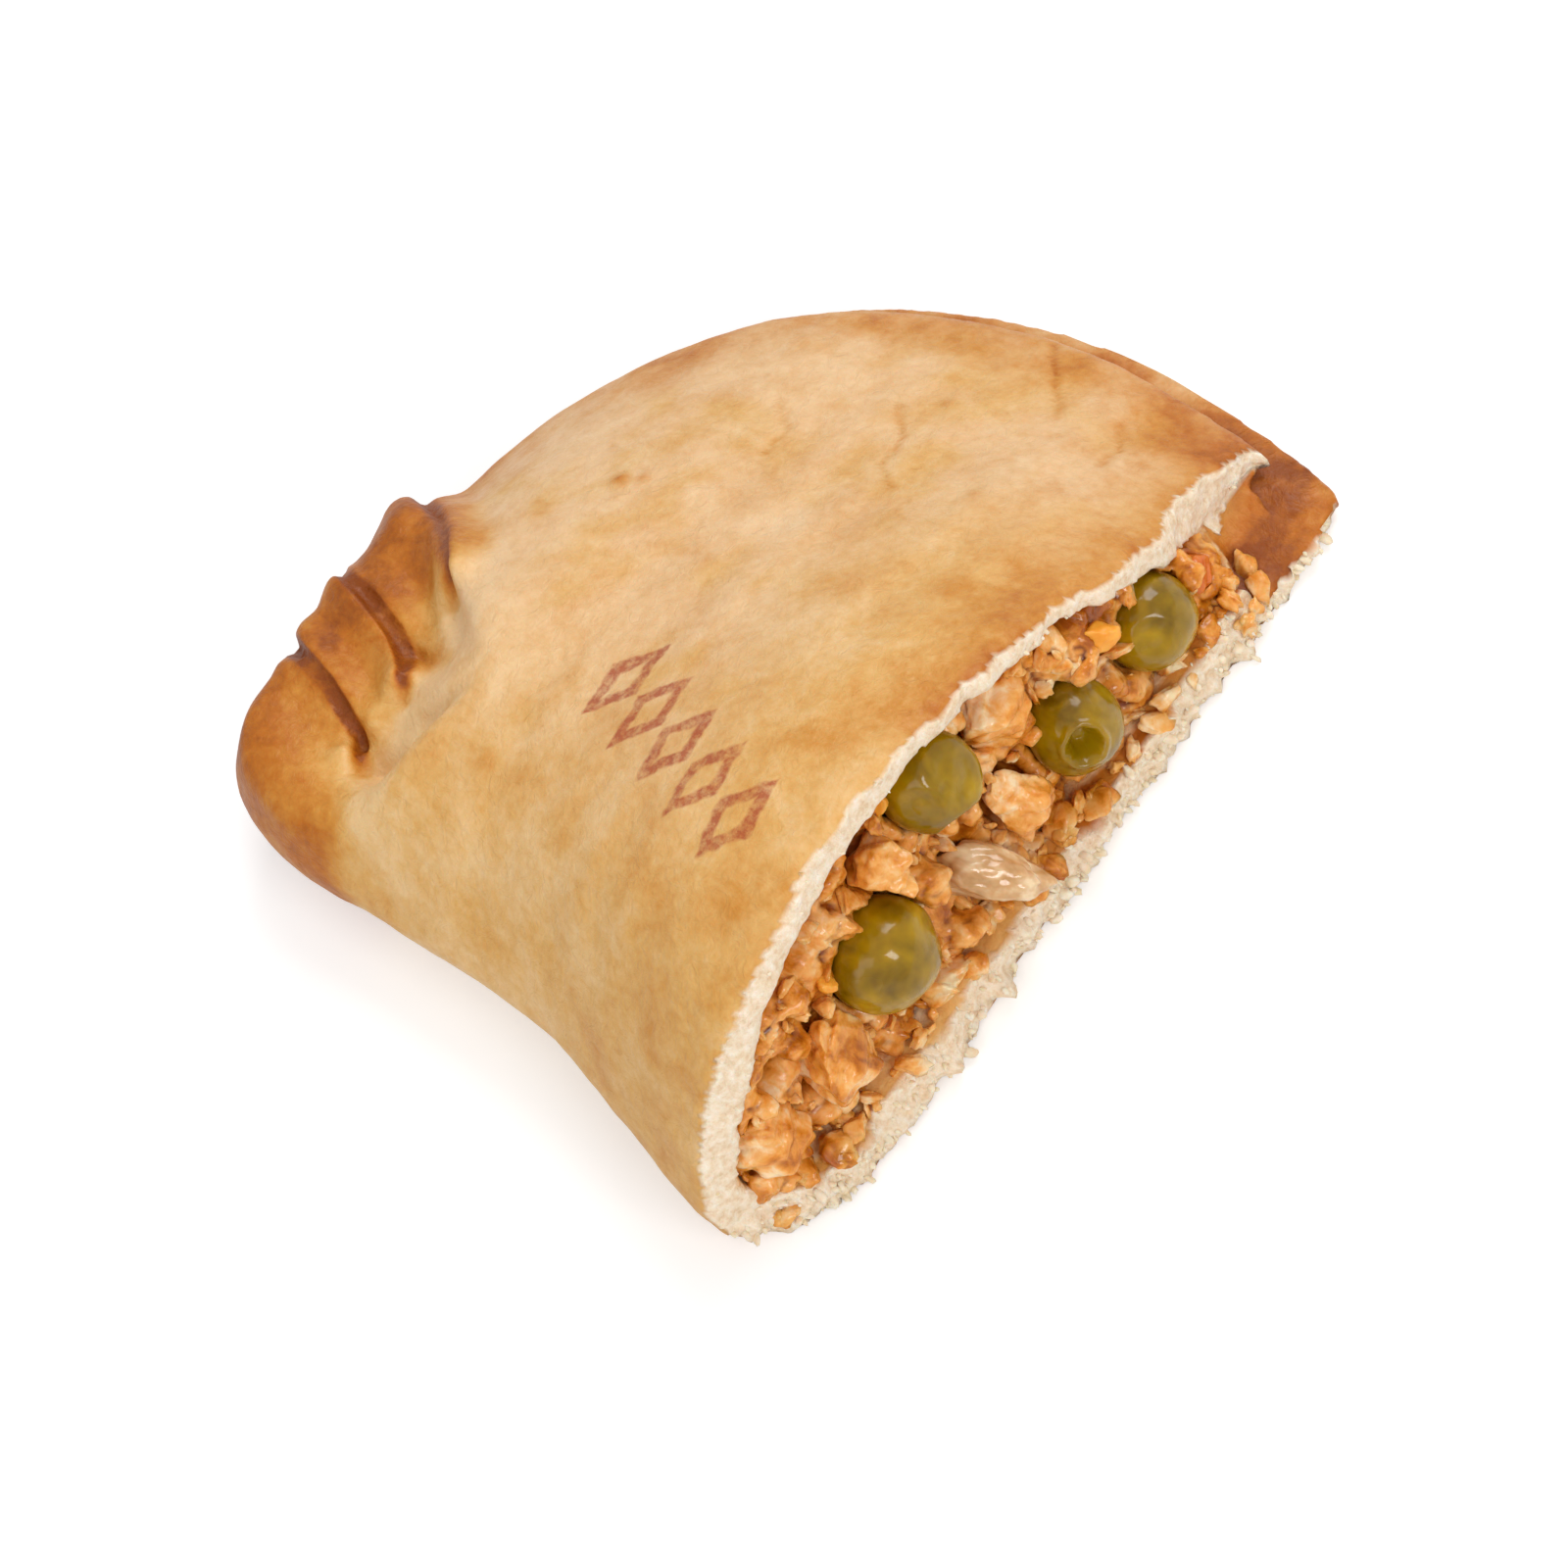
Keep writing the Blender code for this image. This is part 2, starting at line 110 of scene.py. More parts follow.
def merged_copy(node):
    """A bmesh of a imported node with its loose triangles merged."""
    copied = bmesh.new()
    copied.from_mesh(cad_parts[node].data)
    bmesh.ops.remove_doubles(copied, verts=copied.verts, dist=0.01 * MM)
    return copied


def remeshed(copied, name, voxel):
    """An even, closed mesh of small quads over a bmesh, so that its surface can be sculpted."""
    rough_mesh = bpy.data.meshes.new(name)
    copied.to_mesh(rough_mesh)
    copied.free()
    holder = bpy.data.objects.new(name + "_rough", rough_mesh)
    bpy.context.scene.collection.objects.link(holder)
    step = holder.modifiers.new("even", "REMESH")
    step.mode = "VOXEL"
    step.voxel_size = voxel
    bpy.context.view_layer.update()
    graph = bpy.context.evaluated_depsgraph_get()
    even = bpy.data.meshes.new_from_object(holder.evaluated_get(graph))
    bpy.data.objects.remove(holder)
    bpy.data.meshes.remove(rough_mesh)
    even.name = name
    return even


def places_of(mesh):
    """The places of all vertices of a mesh, as rows of three numbers."""
    places = np.empty(3 * len(mesh.vertices))
    mesh.vertices.foreach_get("co", places)
    return places.reshape(-1, 3)


def relaxed(mesh, places, weights, rounds):
    """The places after each has moved towards its neighbours' mean, as far as its weight lets it."""
    ends = np.empty(2 * len(mesh.edges), dtype=np.int32)
    mesh.edges.foreach_get("vertices", ends)
    first, second = ends[0::2], ends[1::2]
    count = len(places)
    neighbours = np.bincount(first, minlength=count) + np.bincount(second, minlength=count)
    moved = places.copy()
    for _ in range(rounds):
        for axis in range(3):
            column = moved[:, axis]
            total = np.bincount(first, column[second], count) + np.bincount(second, column[first], count)
            moved[:, axis] = column + 0.5 * weights * (total / neighbours - column)
    return moved


def normals_of(mesh):
    """The vertex normals of a mesh, as rows of three numbers."""
    normals = np.empty(3 * len(mesh.vertices))
    mesh.vertices.foreach_get("normal", normals)
    return normals.reshape(-1, 3)


def set_places(mesh, places):
    """Move all vertices of a mesh."""
    mesh.vertices.foreach_set("co", places.ravel())
    mesh.update()


def hollowness(mesh, rounds):
    """How far each place lies in a hollow, in mm, and below 0 on a ridge."""
    before = places_of(mesh)
    after = relaxed(mesh, before, np.ones(len(before)), rounds)
    return ((after - before) * normals_of(mesh)).sum(axis=1) / MM


def store(mesh, name, values):
    """Keep one number for each vertex as an attribute that a material can read."""
    attribute = mesh.attributes.new(name, "FLOAT", "POINT")
    attribute.data.foreach_set("value", np.clip(values, 0.0, 1.0))


def triangles(made):
    """How many triangles an object's mesh has."""
    made.data.calc_loop_triangles()
    return len(made.data.loop_triangles)

# %% [markdown]
# ## Camera, floor and light
# Food is often shown from above at a slant, and here the camera is also rolled, as if the half leaned
# over. It looks down at 56 degrees on the torn face. A long lens from 62 cm keeps the shape honest.
# The floor is a plain white sheet: to the camera it is lit a little more, so that it fades to white
# while the food's soft shadow stays.

# %% Camera
VIEW_TURN = math.radians(20.0)         # from straight at the torn face towards the fold
VIEW_HEIGHT = math.radians(56.0)
VIEW_ROLL = math.radians(-37.0)
VIEW_DISTANCE = 620 * MM
AIM = Vector((TEAR_X - 22.0 * MM, -5.2 * MM, 5.5 * MM))
LENS = 202.0

backwards = Vector((math.cos(VIEW_TURN) * math.cos(VIEW_HEIGHT),
                    -math.sin(VIEW_TURN) * math.cos(VIEW_HEIGHT), math.sin(VIEW_HEIGHT)))
level_right = Vector((0, 0, 1)).cross(backwards).normalized()
level_up = backwards.cross(level_right)
right = math.cos(VIEW_ROLL) * level_right + math.sin(VIEW_ROLL) * level_up
up = math.cos(VIEW_ROLL) * level_up - math.sin(VIEW_ROLL) * level_right
camera = bpy.data.objects.new("camera", bpy.data.cameras.new("camera"))
bpy.context.scene.collection.objects.link(camera)
camera.matrix_world = Matrix.Translation(AIM + backwards * VIEW_DISTANCE) @ \
    Matrix((right, up, backwards)).transposed().to_4x4()
camera.data.lens = LENS
camera.data.clip_start = 0.01
bpy.context.scene.camera = camera
bpy.context.scene.view_settings.view_transform = "Standard"
print("camera at", [round(value, 3) for value in camera.matrix_world.translation])

# %% Helpers for materials
def linear(hex_colour):
    """An sRGB hex colour as the linear RGBA that shaders work in."""
    parts = [int(hex_colour[i:i + 2], 16) / 255.0 for i in (1, 3, 5)]
    bright = [part / 12.92 if part <= 0.04045 else ((part + 0.055) / 1.055) ** 2.4 for part in parts]
    return (*bright, 1.0)


def new_material(name):
    """An empty node material and its Principled shader."""
    made = bpy.data.materials.new(name)
    made.use_nodes = True
    return made, made.node_tree.nodes["Principled BSDF"]


def add_node(made, kind, settings=None, **links):
    """Add a node to a material. Settings are its properties; links feed its inputs.

    A link is a value or an output socket. An input's name is written with _ for a space, and
    in_N stands for input number N."""
    node = made.node_tree.nodes.new(kind)
    for key, value in (settings or {}).items():
        setattr(node, key, value)
    for key, value in links.items():
        socket = node.inputs[int(key[3:])] if key.startswith("in_") else node.inputs[key.replace("_", " ")]
        if isinstance(value, bpy.types.NodeSocket):
            made.node_tree.links.new(value, socket)
        else:
            socket.default_value = value
    return node


def join(made, output, shader, name):
    """Link an output to an input of the shader."""
    made.node_tree.links.new(output, shader.inputs[name])


def maths(made, operation, first, second=0.5, clamp=False):
    """The output of a Math node."""
    return add_node(made, "ShaderNodeMath", {"operation": operation, "use_clamp": clamp},
                    in_0=first, in_1=second).outputs[0]


def blended(made, factor, first, second, mode="MIX"):
    """The output of a colour Mix node."""
    node = add_node(made, "ShaderNodeMix", {"data_type": "RGBA", "blend_type": mode},
                    in_0=factor, in_6=first, in_7=second)
    return node.outputs[2]


def ramp(made, factor, stops):
    """The output of a Color Ramp whose stops are (place, hex colour)."""
    node = add_node(made, "ShaderNodeValToRGB", in_0=factor)
    elements = node.color_ramp.elements
    while len(elements) < len(stops):
        elements.new(0.5)
    for element, (place, colour) in zip(elements, stops):
        element.position = place
        element.color = linear(colour) if isinstance(colour, str) else (colour, colour, colour, 1.0)
    return node.outputs[0]


def texture_noise(made, size, detail=3.0, roughness=0.5, distortion=0.0, seed=0.0):
    """Noise from 0 to 1 on Object coordinates, whose lumps are size metres across."""
    place = add_node(made, "ShaderNodeTexCoord").outputs["Object"]
    moved = add_node(made, "ShaderNodeMapping", in_0=place, in_1=(seed * MM, 0.0, 0.0)).outputs[0]
    return add_node(made, "ShaderNodeTexNoise", Vector=moved, Scale=1.0 / size, Detail=detail,
                    Roughness=roughness, Distortion=distortion).outputs[0]


def attribute(made, name):
    """The output of an attribute that a mesh carries."""
    return add_node(made, "ShaderNodeAttribute", {"attribute_name": name}).outputs["Fac"]


def bump(made, shader, heights):
    """Chain Bump nodes from (height output, depth in metres, strength) and link the last one."""
    last = None
    for height, depth, strength in heights:
        links = {"Height": height, "Distance": depth, "Strength": strength}
        if last:
            links["Normal"] = last
        last = add_node(made, "ShaderNodeBump", **links).outputs[0]
    join(made, last, shader, "Normal")

# %% Floor
FLOOR_SIZE = 3.0
sheet = bmesh.new()
bmesh.ops.create_grid(sheet, x_segments=1, y_segments=1, size=FLOOR_SIZE / 2)
bmesh.ops.translate(sheet, verts=sheet.verts, vec=(0, 0, -0.05 * MM))
floor_mesh = bpy.data.meshes.new("floor")
sheet.to_mesh(floor_mesh)
sheet.free()
floor = new_object("floor", floor_mesh)

paper, paper_shader = new_material("matt_white_paper")
paper_shader.inputs["Base Color"].default_value = linear("#ebebeb")
paper_shader.inputs["Roughness"].default_value = 0.9
paper_shader.inputs["Specular IOR Level"].default_value = 0.1
seen = add_node(paper, "ShaderNodeLightPath").outputs["Is Camera Ray"]
paper_shader.inputs["Emission Color"].default_value = (1, 1, 1, 1)
join(paper, maths(paper, "MULTIPLY", seen, 0.34), paper_shader, "Emission Strength")
floor.data.materials.append(paper)

# %% Light
world = bpy.data.worlds.new("soft_room")
bpy.context.scene.world = world
world.use_nodes = True
world.node_tree.nodes["Background"].inputs["Color"].default_value = (1, 1, 1, 1)
world.node_tree.nodes["Background"].inputs["Strength"].default_value = 0.55


def softbox(name, towards, distance, size, power):
    """A white square lamp that points at the middle of the food."""
    lamp = bpy.data.lights.new(name, "AREA")
    lamp.size = size
    lamp.energy = power
    holder = bpy.data.objects.new(name, lamp)
    direction = Vector(towards).normalized()
    holder.location = direction * distance
    holder.rotation_euler = direction.to_track_quat("Z", "Y").to_euler()
    bpy.context.scene.collection.objects.link(holder)


softbox("key", (-0.10, 0.75, 1.0), 0.8, 0.40, 2.5)
softbox("fill", (1.0, -0.1, 0.75), 0.9, 0.32, 2.5)
softbox("front", (0.3, -1.0, 0.7), 0.9, 0.6, 1.3)

# %% [markdown]
# ## The baked dough: shape
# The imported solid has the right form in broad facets. A voxel remesh turns it into an even skin of
# half-millimetre quads, which can then be sculpted by moving its vertices. Each vertex first learns
# what it is: torn crumb, inner wall or baked skin. The skin is smoothed and gets the gentle
# unevenness of a baked sheet, while the torn faces get crags, because crumb pulls apart in tufts.

# %% Learn what each place on the dough is
DOUGH_VOXEL = 0.435 * MM
TOP_TEAR = 12 * MM                     # the torn face is nowhere further back than this
TEAR_FACING = 0.55                     # faces that look this much along +X there are torn crumb
TOP_SKIN = 0.5 * MM                    # but those this close to the very top are skin
LIP_LEVELS = (1.2 * MM, 2.2 * MM)      # the base layer is widest between these heights
RIM_START = FOLD_Y + 0.55 * (RIM_Y - FOLD_Y)
WALL_REACH = 0.9 * MM                  # the inner wall lies this close to the filling
dough_faces = merged_copy("dough")
dough_tree = BVHTree.FromBMesh(dough_faces)
filling_tree = BVHTree.FromBMesh(merged_copy("filling"))
torn_faces = {face.index for face in dough_faces.faces
              if face.normal.x > TEAR_FACING and face.calc_center_median().x > TEAR_X - TOP_TEAR
              and face.calc_center_median().z < TOP_Z - TOP_SKIN}
lip_ring = [vert.co.copy() for vert in dough_faces.verts
            if LIP_LEVELS[0] < vert.co.z < LIP_LEVELS[1] and vert.co.y > RIM_START]
rim_tree = KDTree(len(lip_ring))
for index, place in enumerate(lip_ring):
    rim_tree.insert((place.x, place.y, 0.0), index)
rim_tree.balance()
dough_mesh = remeshed(dough_faces, "baked_crust", DOUGH_VOXEL)

torn = []
inner = []
edge_distance = []
for vert in dough_mesh.vertices:
    _, _, face_index, _ = dough_tree.find_nearest(vert.co)
    is_torn = face_index in torn_faces
    _, _, _, to_filling = filling_tree.find_nearest(vert.co)
    torn.append(1.0 if is_torn else 0.0)
    inner.append(1.0 if to_filling < WALL_REACH and not is_torn else 0.0)
    edge_distance.append(rim_tree.find((vert.co.x, vert.co.y, 0.0))[2])
torn = np.array(torn)
inner = np.array(inner)
edge_distance = np.array(edge_distance)
print(len(torn), "vertices,", int(torn.sum()), "torn,", int(inner.sum()), "inner")

# %% Smooth the facets away
SKIN_ROUNDS = 9
RIM_BAND = 4.0 * MM                    # the rim's two layers lie this close to its lip
RIM_TOP = 6.0 * MM                     # and below this height
RIM_SMOOTHING = 0.35                   # they are smoothed less than the skin, to stay apart
TORN_HOLD = 0.8                        # and the torn faces keep most of their crags
places = places_of(dough_mesh)
near_rim = (edge_distance < RIM_BAND) & (places[:, 2] < RIM_TOP)
weights = np.where(near_rim, RIM_SMOOTHING, 1.0) * (1.0 - TORN_HOLD * torn)
set_places(dough_mesh, relaxed(dough_mesh, places, weights, SKIN_ROUNDS))

# %% Press the creases between the pleats, and fine cracks
CREASES = [                            # on the plan in mm, from the end of the corner inwards
    [(-3.0, 19.6), (0.8, 18.7), (6.2, 17.2), (10.6, 15.3), (12.6, 12.9)],
    [(-3.0, 25.6), (1.1, 25.0), (4.8, 24.2), (8.3, 23.0), (11.6, 20.9), (12.9, 18.8)],
    [(-2.0, 34.0), (2.0, 32.9), (5.3, 32.0), (8.3, 30.4), (10.8, 28.5), (12.2, 26.4)],
]
CORNER_PLAN = (18.0, 8.0, 38.0)        # the pleats lie below this X and between these Y
CREASE_DEPTH = 0.45                    # all in mm
CREASE_WIDTH = 0.5
# painted shade: the darker line drawn along each crease reaches this far, in mm, to either side
CREASE_SHADE_HALF_WIDTH = 0.6                     # half width of the darker line in it
SHOULDER = 0.35                        # rise of the folds beside a crease
SHOULDER_AWAY = 1.5
SHOULDER_WIDTH = 1.1
CREASE_FILL = 2.3                      # the folds swell against each other and nearly close the gap
FILL_WIDTH = 1.7
FILL_TOP = 7 * MM                      # below this height they swell less
CUP_RADIUS = 3.6                       # a pale hollow lies where each crease ends
UNDERSIDE = 0.8 * MM
CRACKS = [
    [(34.5, 66.6), (36.4, 64.6), (38.0, 63.4), (40.8, 60.7)],
    [(44.5, 63.0), (46.6, 60.8), (47.2, 58.6)],
    [(22.0, 52.0), (24.4, 50.2), (25.5, 47.4)],
    [(30.0, 56.0), (33.0, 53.6), (34.2, 50.5), (36.5, 49.0)],
]
CRACK_DEPTH = 0.16
CRACK_WIDTH = 0.28
CRACK_WAVER = 0.5                      # how far a crack strays from its line


def nearest_on(line, x, y):
    """Distances in mm from places on the plan to a line, and how far along it they are, from 0 to 1."""
    best = np.full(len(x), 1e9)
    along = np.zeros(len(x))
    spans = len(line) - 1
    for index in range(spans):
        ax, ay = line[index]
        dx, dy = line[index + 1][0] - ax, line[index + 1][1] - ay
        t = np.clip(((x - ax) * dx + (y - ay) * dy) / (dx * dx + dy * dy), 0.0, 1.0)
        away = np.hypot(x - ax - t * dx, y - ay - t * dy)
        nearer = away < best
        best[nearer] = away[nearer]
        along[nearer] = (index + t[nearer]) / spans
    return best, along


places = places_of(dough_mesh)
normals = normals_of(dough_mesh)
plan_x = (places[:, 0] - PLAN.x) / MM
plan_y = (places[:, 1] - PLAN.y) / MM
skin_only = (places[:, 2] > UNDERSIDE) & (torn == 0.0) & (inner == 0.0)
on_corner = skin_only & (plan_x < CORNER_PLAN[0]) & (plan_y > CORNER_PLAN[1]) & (plan_y < CORNER_PLAN[2])
crease = np.zeros(len(torn))
cup = np.zeros(len(torn))
shift = np.zeros(len(torn))
lift = np.zeros(len(torn))
for line in CREASES:
    away, along = nearest_on(line, plan_x, plan_y)
    strong = on_corner * np.clip((1.05 - along) / 0.2, 0.0, 1.0)
    shift -= CREASE_DEPTH * strong * bell(away, CREASE_WIDTH)
    shift += SHOULDER * strong * bell(away - SHOULDER_AWAY, SHOULDER_WIDTH)
    lift = np.maximum(lift, CREASE_FILL * strong * bell(away, FILL_WIDTH))
    # this crease mask marks where shade is painted along each crease
    crease = np.maximum(crease, strong * bell(away, CREASE_SHADE_HALF_WIDTH))
    to_end = np.hypot(plan_x - line[-1][0], plan_y - line[-1][1])
    cup = np.maximum(cup, on_corner * bell(to_end, CUP_RADIUS))
waver = np.array([CRACK_WAVER * grain(Vector(place), 1.5 * MM) for place in places])
crack = np.zeros(len(torn))
for line in CRACKS:
    away, _ = nearest_on(line, plan_x + waver, plan_y)
    crack = np.maximum(crack, skin_only * (normals[:, 2] > 0.3) * bell(away, CRACK_WIDTH))
shift -= CRACK_DEPTH * crack
places += normals * shift[:, None] * MM
places[:, 2] += lift * np.clip(places[:, 2] / FILL_TOP, 0.0, 1.0) * MM
set_places(dough_mesh, places)

# %% Ragged tears and an uneven skin
TORN_LAYERS = [(0.42, 1.5 * MM, 3.0), (0.34, 0.8 * MM, 5.0)]                 # height in mm, size, seed
WALL_LAYERS = [(0.22, 1.6 * MM, 2.0)]
SKIN_LAYERS = [(0.26, 12 * MM, 1.0), (0.11, 4.5 * MM, 4.0), (0.06, 1.8 * MM, 6.0)]
PUCKER_LAYERS = [(0.14, 1.1 * MM, 7.0)]                                      # the skin beside the tear
TUFTS = [(2.3, 2.4 * MM, 9.0, 0.15), (1.7, 1.2 * MM, 19.0, 0.25)]            # and the noise they start at
TUFTS_POINT = np.array((1.0, 0.0, -0.1))
TOP_RAGGED = 0.4                       # the top sheet tore more cleanly than the base
TOP_TUFTS = 0.15

normals = normals_of(dough_mesh)
for index, spot in enumerate(places):
    place = Vector(spot)
    if torn[index]:
        low_edge = smooth_step(7 * MM, 4 * MM, place.z)
        tuft = sum(height * max(0.0, grain(place, size, seed) - start)
                   for height, size, seed, start in TUFTS)
        spot += normals[index] * layered(place, TORN_LAYERS) * mix(TOP_RAGGED, 1.0, low_edge) * MM
        spot += TUFTS_POINT * tuft * mix(TOP_TUFTS, 1.0, low_edge) * MM
    elif inner[index]:
        spot += normals[index] * layered(place, WALL_LAYERS) * MM
    else:
        near_tear = smooth_step(TEAR_X - 9 * MM, TEAR_X - 4 * MM, place.x)
        swell = layered(place, SKIN_LAYERS) + near_tear * layered(place, PUCKER_LAYERS)
        spot += normals[index] * swell * MM
places[:, 2] = np.maximum(places[:, 2], 0.0)
set_places(dough_mesh, places)
crust = new_object("baked_crust", dough_mesh)
print("crust:", triangles(crust), "triangles")

# %% Blisters and the slit along the rim
SLIT_HEIGHT = 2.9 * MM
SLIT_HALF = 0.75 * MM
SLIT_DEPTH = 1.7 * MM
SLIT_SHARPNESS = 0.6                   # below 1, so that its walls are steep
LIP_TOP = (2.4 * MM, 1.8 * MM)         # the base layer pushes out fully below the second height
LIP_OUT = 0.45 * MM
slit = np.zeros(len(torn))
middle = np.array((TEAR_X - 20 * MM, 0.0, 0.0))
for index, spot in enumerate(places):
    away = edge_distance[index]
    if torn[index] or inner[index] or away > RIM_BAND or not 0.5 * MM <= spot[2] <= RIM_TOP:
        continue
    inwards = (middle - spot) * (1.0, 1.0, 0.0)
    inwards /= np.linalg.norm(inwards)
    close = max(0.0, 1.0 - abs(spot[2] - SLIT_HEIGHT) / SLIT_HALF) ** SLIT_SHARPNESS
    open_here = smooth_step(RIM_BAND, 2.4 * MM, away)
    lip = smooth_step(*LIP_TOP, spot[2])
    spot += inwards * open_here * (SLIT_DEPTH * close - LIP_OUT * lip)
    # this slit mask also paints shade into the groove
    slit[index] = close * open_here

BLISTERS = [                           # on the plan in mm: place, radius and rise
    (17.6, 40.2, 1.5, 0.34), (19.2, 41.2, 1.0, 0.24), (18.6, 38.8, 0.8, 0.2), (33.5, 58.0, 1.2, 0.12),
    (43.0, 51.0, 1.0, 0.12), (23.0, 43.0, 1.2, 0.12), (35.5, 14.0, 1.1, 0.12), (25.0, 17.0, 1.3, 0.12),
]
HIGHEST_RISE = max(rise for _, _, _, rise in BLISTERS)
blister = np.zeros(len(torn))
on_top = (torn == 0.0) & (inner == 0.0) & (normals[:, 2] > 0.2)
for x, y, radius, rise in BLISTERS:
    bubble = on_top * np.clip(1.0 - np.hypot(plan_x - x, plan_y - y) / radius, 0.0, 1.0) ** 1.5
    places += normals * (rise * MM * bubble)[:, None]
    blister = np.maximum(blister, bubble * rise / HIGHEST_RISE)
set_places(dough_mesh, places)

# %% Where the dough browned, and where shade is painted on it
def pleat_zone(place):
    """1 on the pleated corner, 0 over the rest of the half."""
    x = (place.x - PLAN.x) / MM
    y = (place.y - PLAN.y) / MM
    along = smooth_step(15.0, 11.0, x + 0.10 * (y - 25.0))
    across = smooth_step(37.0, 33.0, y + 0.25 * x)
    return along * across


# the hollowness measured here is used to paint shade into the pleats' hollows
DENT_ROUNDS = 14                       # compares each place with the skin some 2 mm round it
dents = hollowness(dough_mesh, DENT_ROUNDS)
bake_and_shade = []
gold_and_fold_shade = []
for index, spot in enumerate(places):
    place = Vector(spot)
    blotch = 0.5 + 0.5 * grain(place, 8 * MM, 11.0) + 0.3 * grain(place, 3.0 * MM, 12.0)
    rim = smooth_step(9 * MM, 0.5 * MM, edge_distance[index])
    corner = bell(math.hypot(place.x - TEAR_X + 4 * MM, place.y - RIM_Y + 6 * MM), 9 * MM)
    pleats = pleat_zone(place)
    middle_gold = smooth_step(TEAR_X - 28 * MM, TEAR_X - 10 * MM, place.x)
    middle_gold *= smooth_step(RIM_Y - 12 * MM, RIM_Y - 26 * MM, place.y)
    browned_and_shaded = 0.06 + 0.24 * blotch + 0.12 * middle_gold + rim * (0.18 + 0.35 * blotch) + 0.42 * corner
    # painted shade: on the pleats, hollows are drawn browner and ridges paler
    on_pleat = 0.65 + 0.26 * blotch + 0.35 * dents[index]
    browned_and_shaded = mix(browned_and_shaded, on_pleat, pleats)
    # painted shade: the creases between the pleats are drawn browner
    browned_and_shaded += 0.45 * crease[index] - 0.62 * cup[index] * (1.0 - 0.8 * crease[index])
    # painted shade: the slit and the cracks are drawn darker; the blisters' browning is the dough's own
    # colour
    browned_and_shaded += 0.5 * blister[index] + 0.55 * slit[index] + 0.22 * crack[index]
    if place.z < 0.6 * MM:
        browned_and_shaded = 0.35 + 0.35 * blotch
    bake_and_shade.append(browned_and_shaded)
    # golden towards the fold: partly the glaze's own colour, partly painted shade on the fold side
    toward_fold = smooth_step(FOLD_Y + 36 * MM, FOLD_Y + 8 * MM, place.y)
    near_tear = smooth_step(TEAR_X - 12 * MM, TEAR_X - 5 * MM, place.x)
    golden_spot = 0.65 * smooth_step(0.42, 0.85, blotch)
    gold_and_fold_shade.append(max(0.9 * toward_fold, 0.6 * near_tear, 0.85 * pleats, 0.75 * middle_gold, golden_spot))
store(dough_mesh, "bake_and_shade", bake_and_shade)
store(dough_mesh, "gold_and_fold_shade", gold_and_fold_shade)
store(dough_mesh, "torn", torn)
store(dough_mesh, "inner", inner)
print("mean browning:", round(sum(bake_and_shade) / len(bake_and_shade), 2))
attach(crust, "root")
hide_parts("dough")

# %% [markdown]
# ## The baked dough: finish
# Wheat dough brushed with egg and baked pale: a thin satin glaze over a cream crust, pinkish where it
# is pale, golden near the fold, partly as painted shade on that side, and orange-brown on the rim and
# the pleats. The glaze dries into a fine net of wrinkles. Torn crumb is nearly white, matt and grainy,
# and the inner wall is stained by the sauce. Painted shade darkens the creases, the slit along the rim,
# the fine cracks and the pleats' hollows. Attributes from the sculpting say which is where, so no edge
# of colour misses its shape.

# %% Material: egg-glazed baked dough
STAMP_CENTRE = (PLAN.x + 40.8 * MM, PLAN.y + 23.3 * MM, 0.0)
STAMP_TURN = math.radians(-18.7)
STAMP_PITCH = 4.7 * MM
STAMP_HALF_HEIGHT = 4.1 * MM

baked, baked_shader = new_material("egg_glazed_baked_dough")
# this attribute holds the browning and also the painted shade of the creases, the slit, the cracks and the
# pleats' hollows
browning_and_shade = attribute(baked, "bake_and_shade")
speckle = texture_noise(baked, 0.9 * MM, 4.0, 0.65)
patchy = texture_noise(baked, 5.0 * MM, 4.0, 0.6, 0.6, 20.0)
uneven = maths(baked, "ADD", maths(baked, "MULTIPLY", maths(baked, "SUBTRACT", speckle, 0.5), 0.44),
               maths(baked, "MULTIPLY", maths(baked, "SUBTRACT", patchy, 0.5), 0.72))
browning_and_shade = maths(baked, "ADD", browning_and_shade, uneven, True)
pale_skin = ramp(baked, browning_and_shade, [(0.0, "#f0c999"), (0.26, "#e4b47d"), (0.52, "#d69550"),
                                   (0.76, "#c07029"), (1.0, "#984f14")])
gold_skin = ramp(baked, browning_and_shade, [(0.0, "#ecc489"), (0.26, "#dfaa5a"), (0.50, "#d08c32"),
                                   (0.74, "#ba690e"), (1.0, "#8c4308")])
# this attribute mixes the glaze's gold with the painted shade on the fold side
skin = blended(baked, attribute(baked, "gold_and_fold_shade"), pale_skin, gold_skin)

# A worn row of plain lozenges in food dye, printed on the raw sheet
place = add_node(baked, "ShaderNodeTexCoord").outputs["Object"]
wobble = texture_noise(baked, 1.6 * MM, 2.0, 0.5, 0.0, 50.0)
local = add_node(baked, "ShaderNodeMapping", {"vector_type": "TEXTURE"}, in_0=place, in_1=STAMP_CENTRE,
                 in_2=(0.0, 0.0, STAMP_TURN)).outputs[0]
split = add_node(baked, "ShaderNodeSeparateXYZ", in_0=local)
along = maths(baked, "DIVIDE", split.outputs[0], STAMP_PITCH)
cell = maths(baked, "FRACT", maths(baked, "ADD", along, 20.5))
cell = maths(baked, "ABSOLUTE", maths(baked, "SUBTRACT", cell, 0.5))
across = maths(baked, "ABSOLUTE", maths(baked, "DIVIDE", split.outputs[1], STAMP_HALF_HEIGHT))
lozenge = maths(baked, "ADD", maths(baked, "DIVIDE", cell, 0.46), across)
wobble = maths(baked, "MULTIPLY", maths(baked, "SUBTRACT", wobble, 0.5), 0.45)
lozenge = maths(baked, "ADD", lozenge, wobble)
off_line = maths(baked, "ABSOLUTE", maths(baked, "SUBTRACT", lozenge, 0.72))
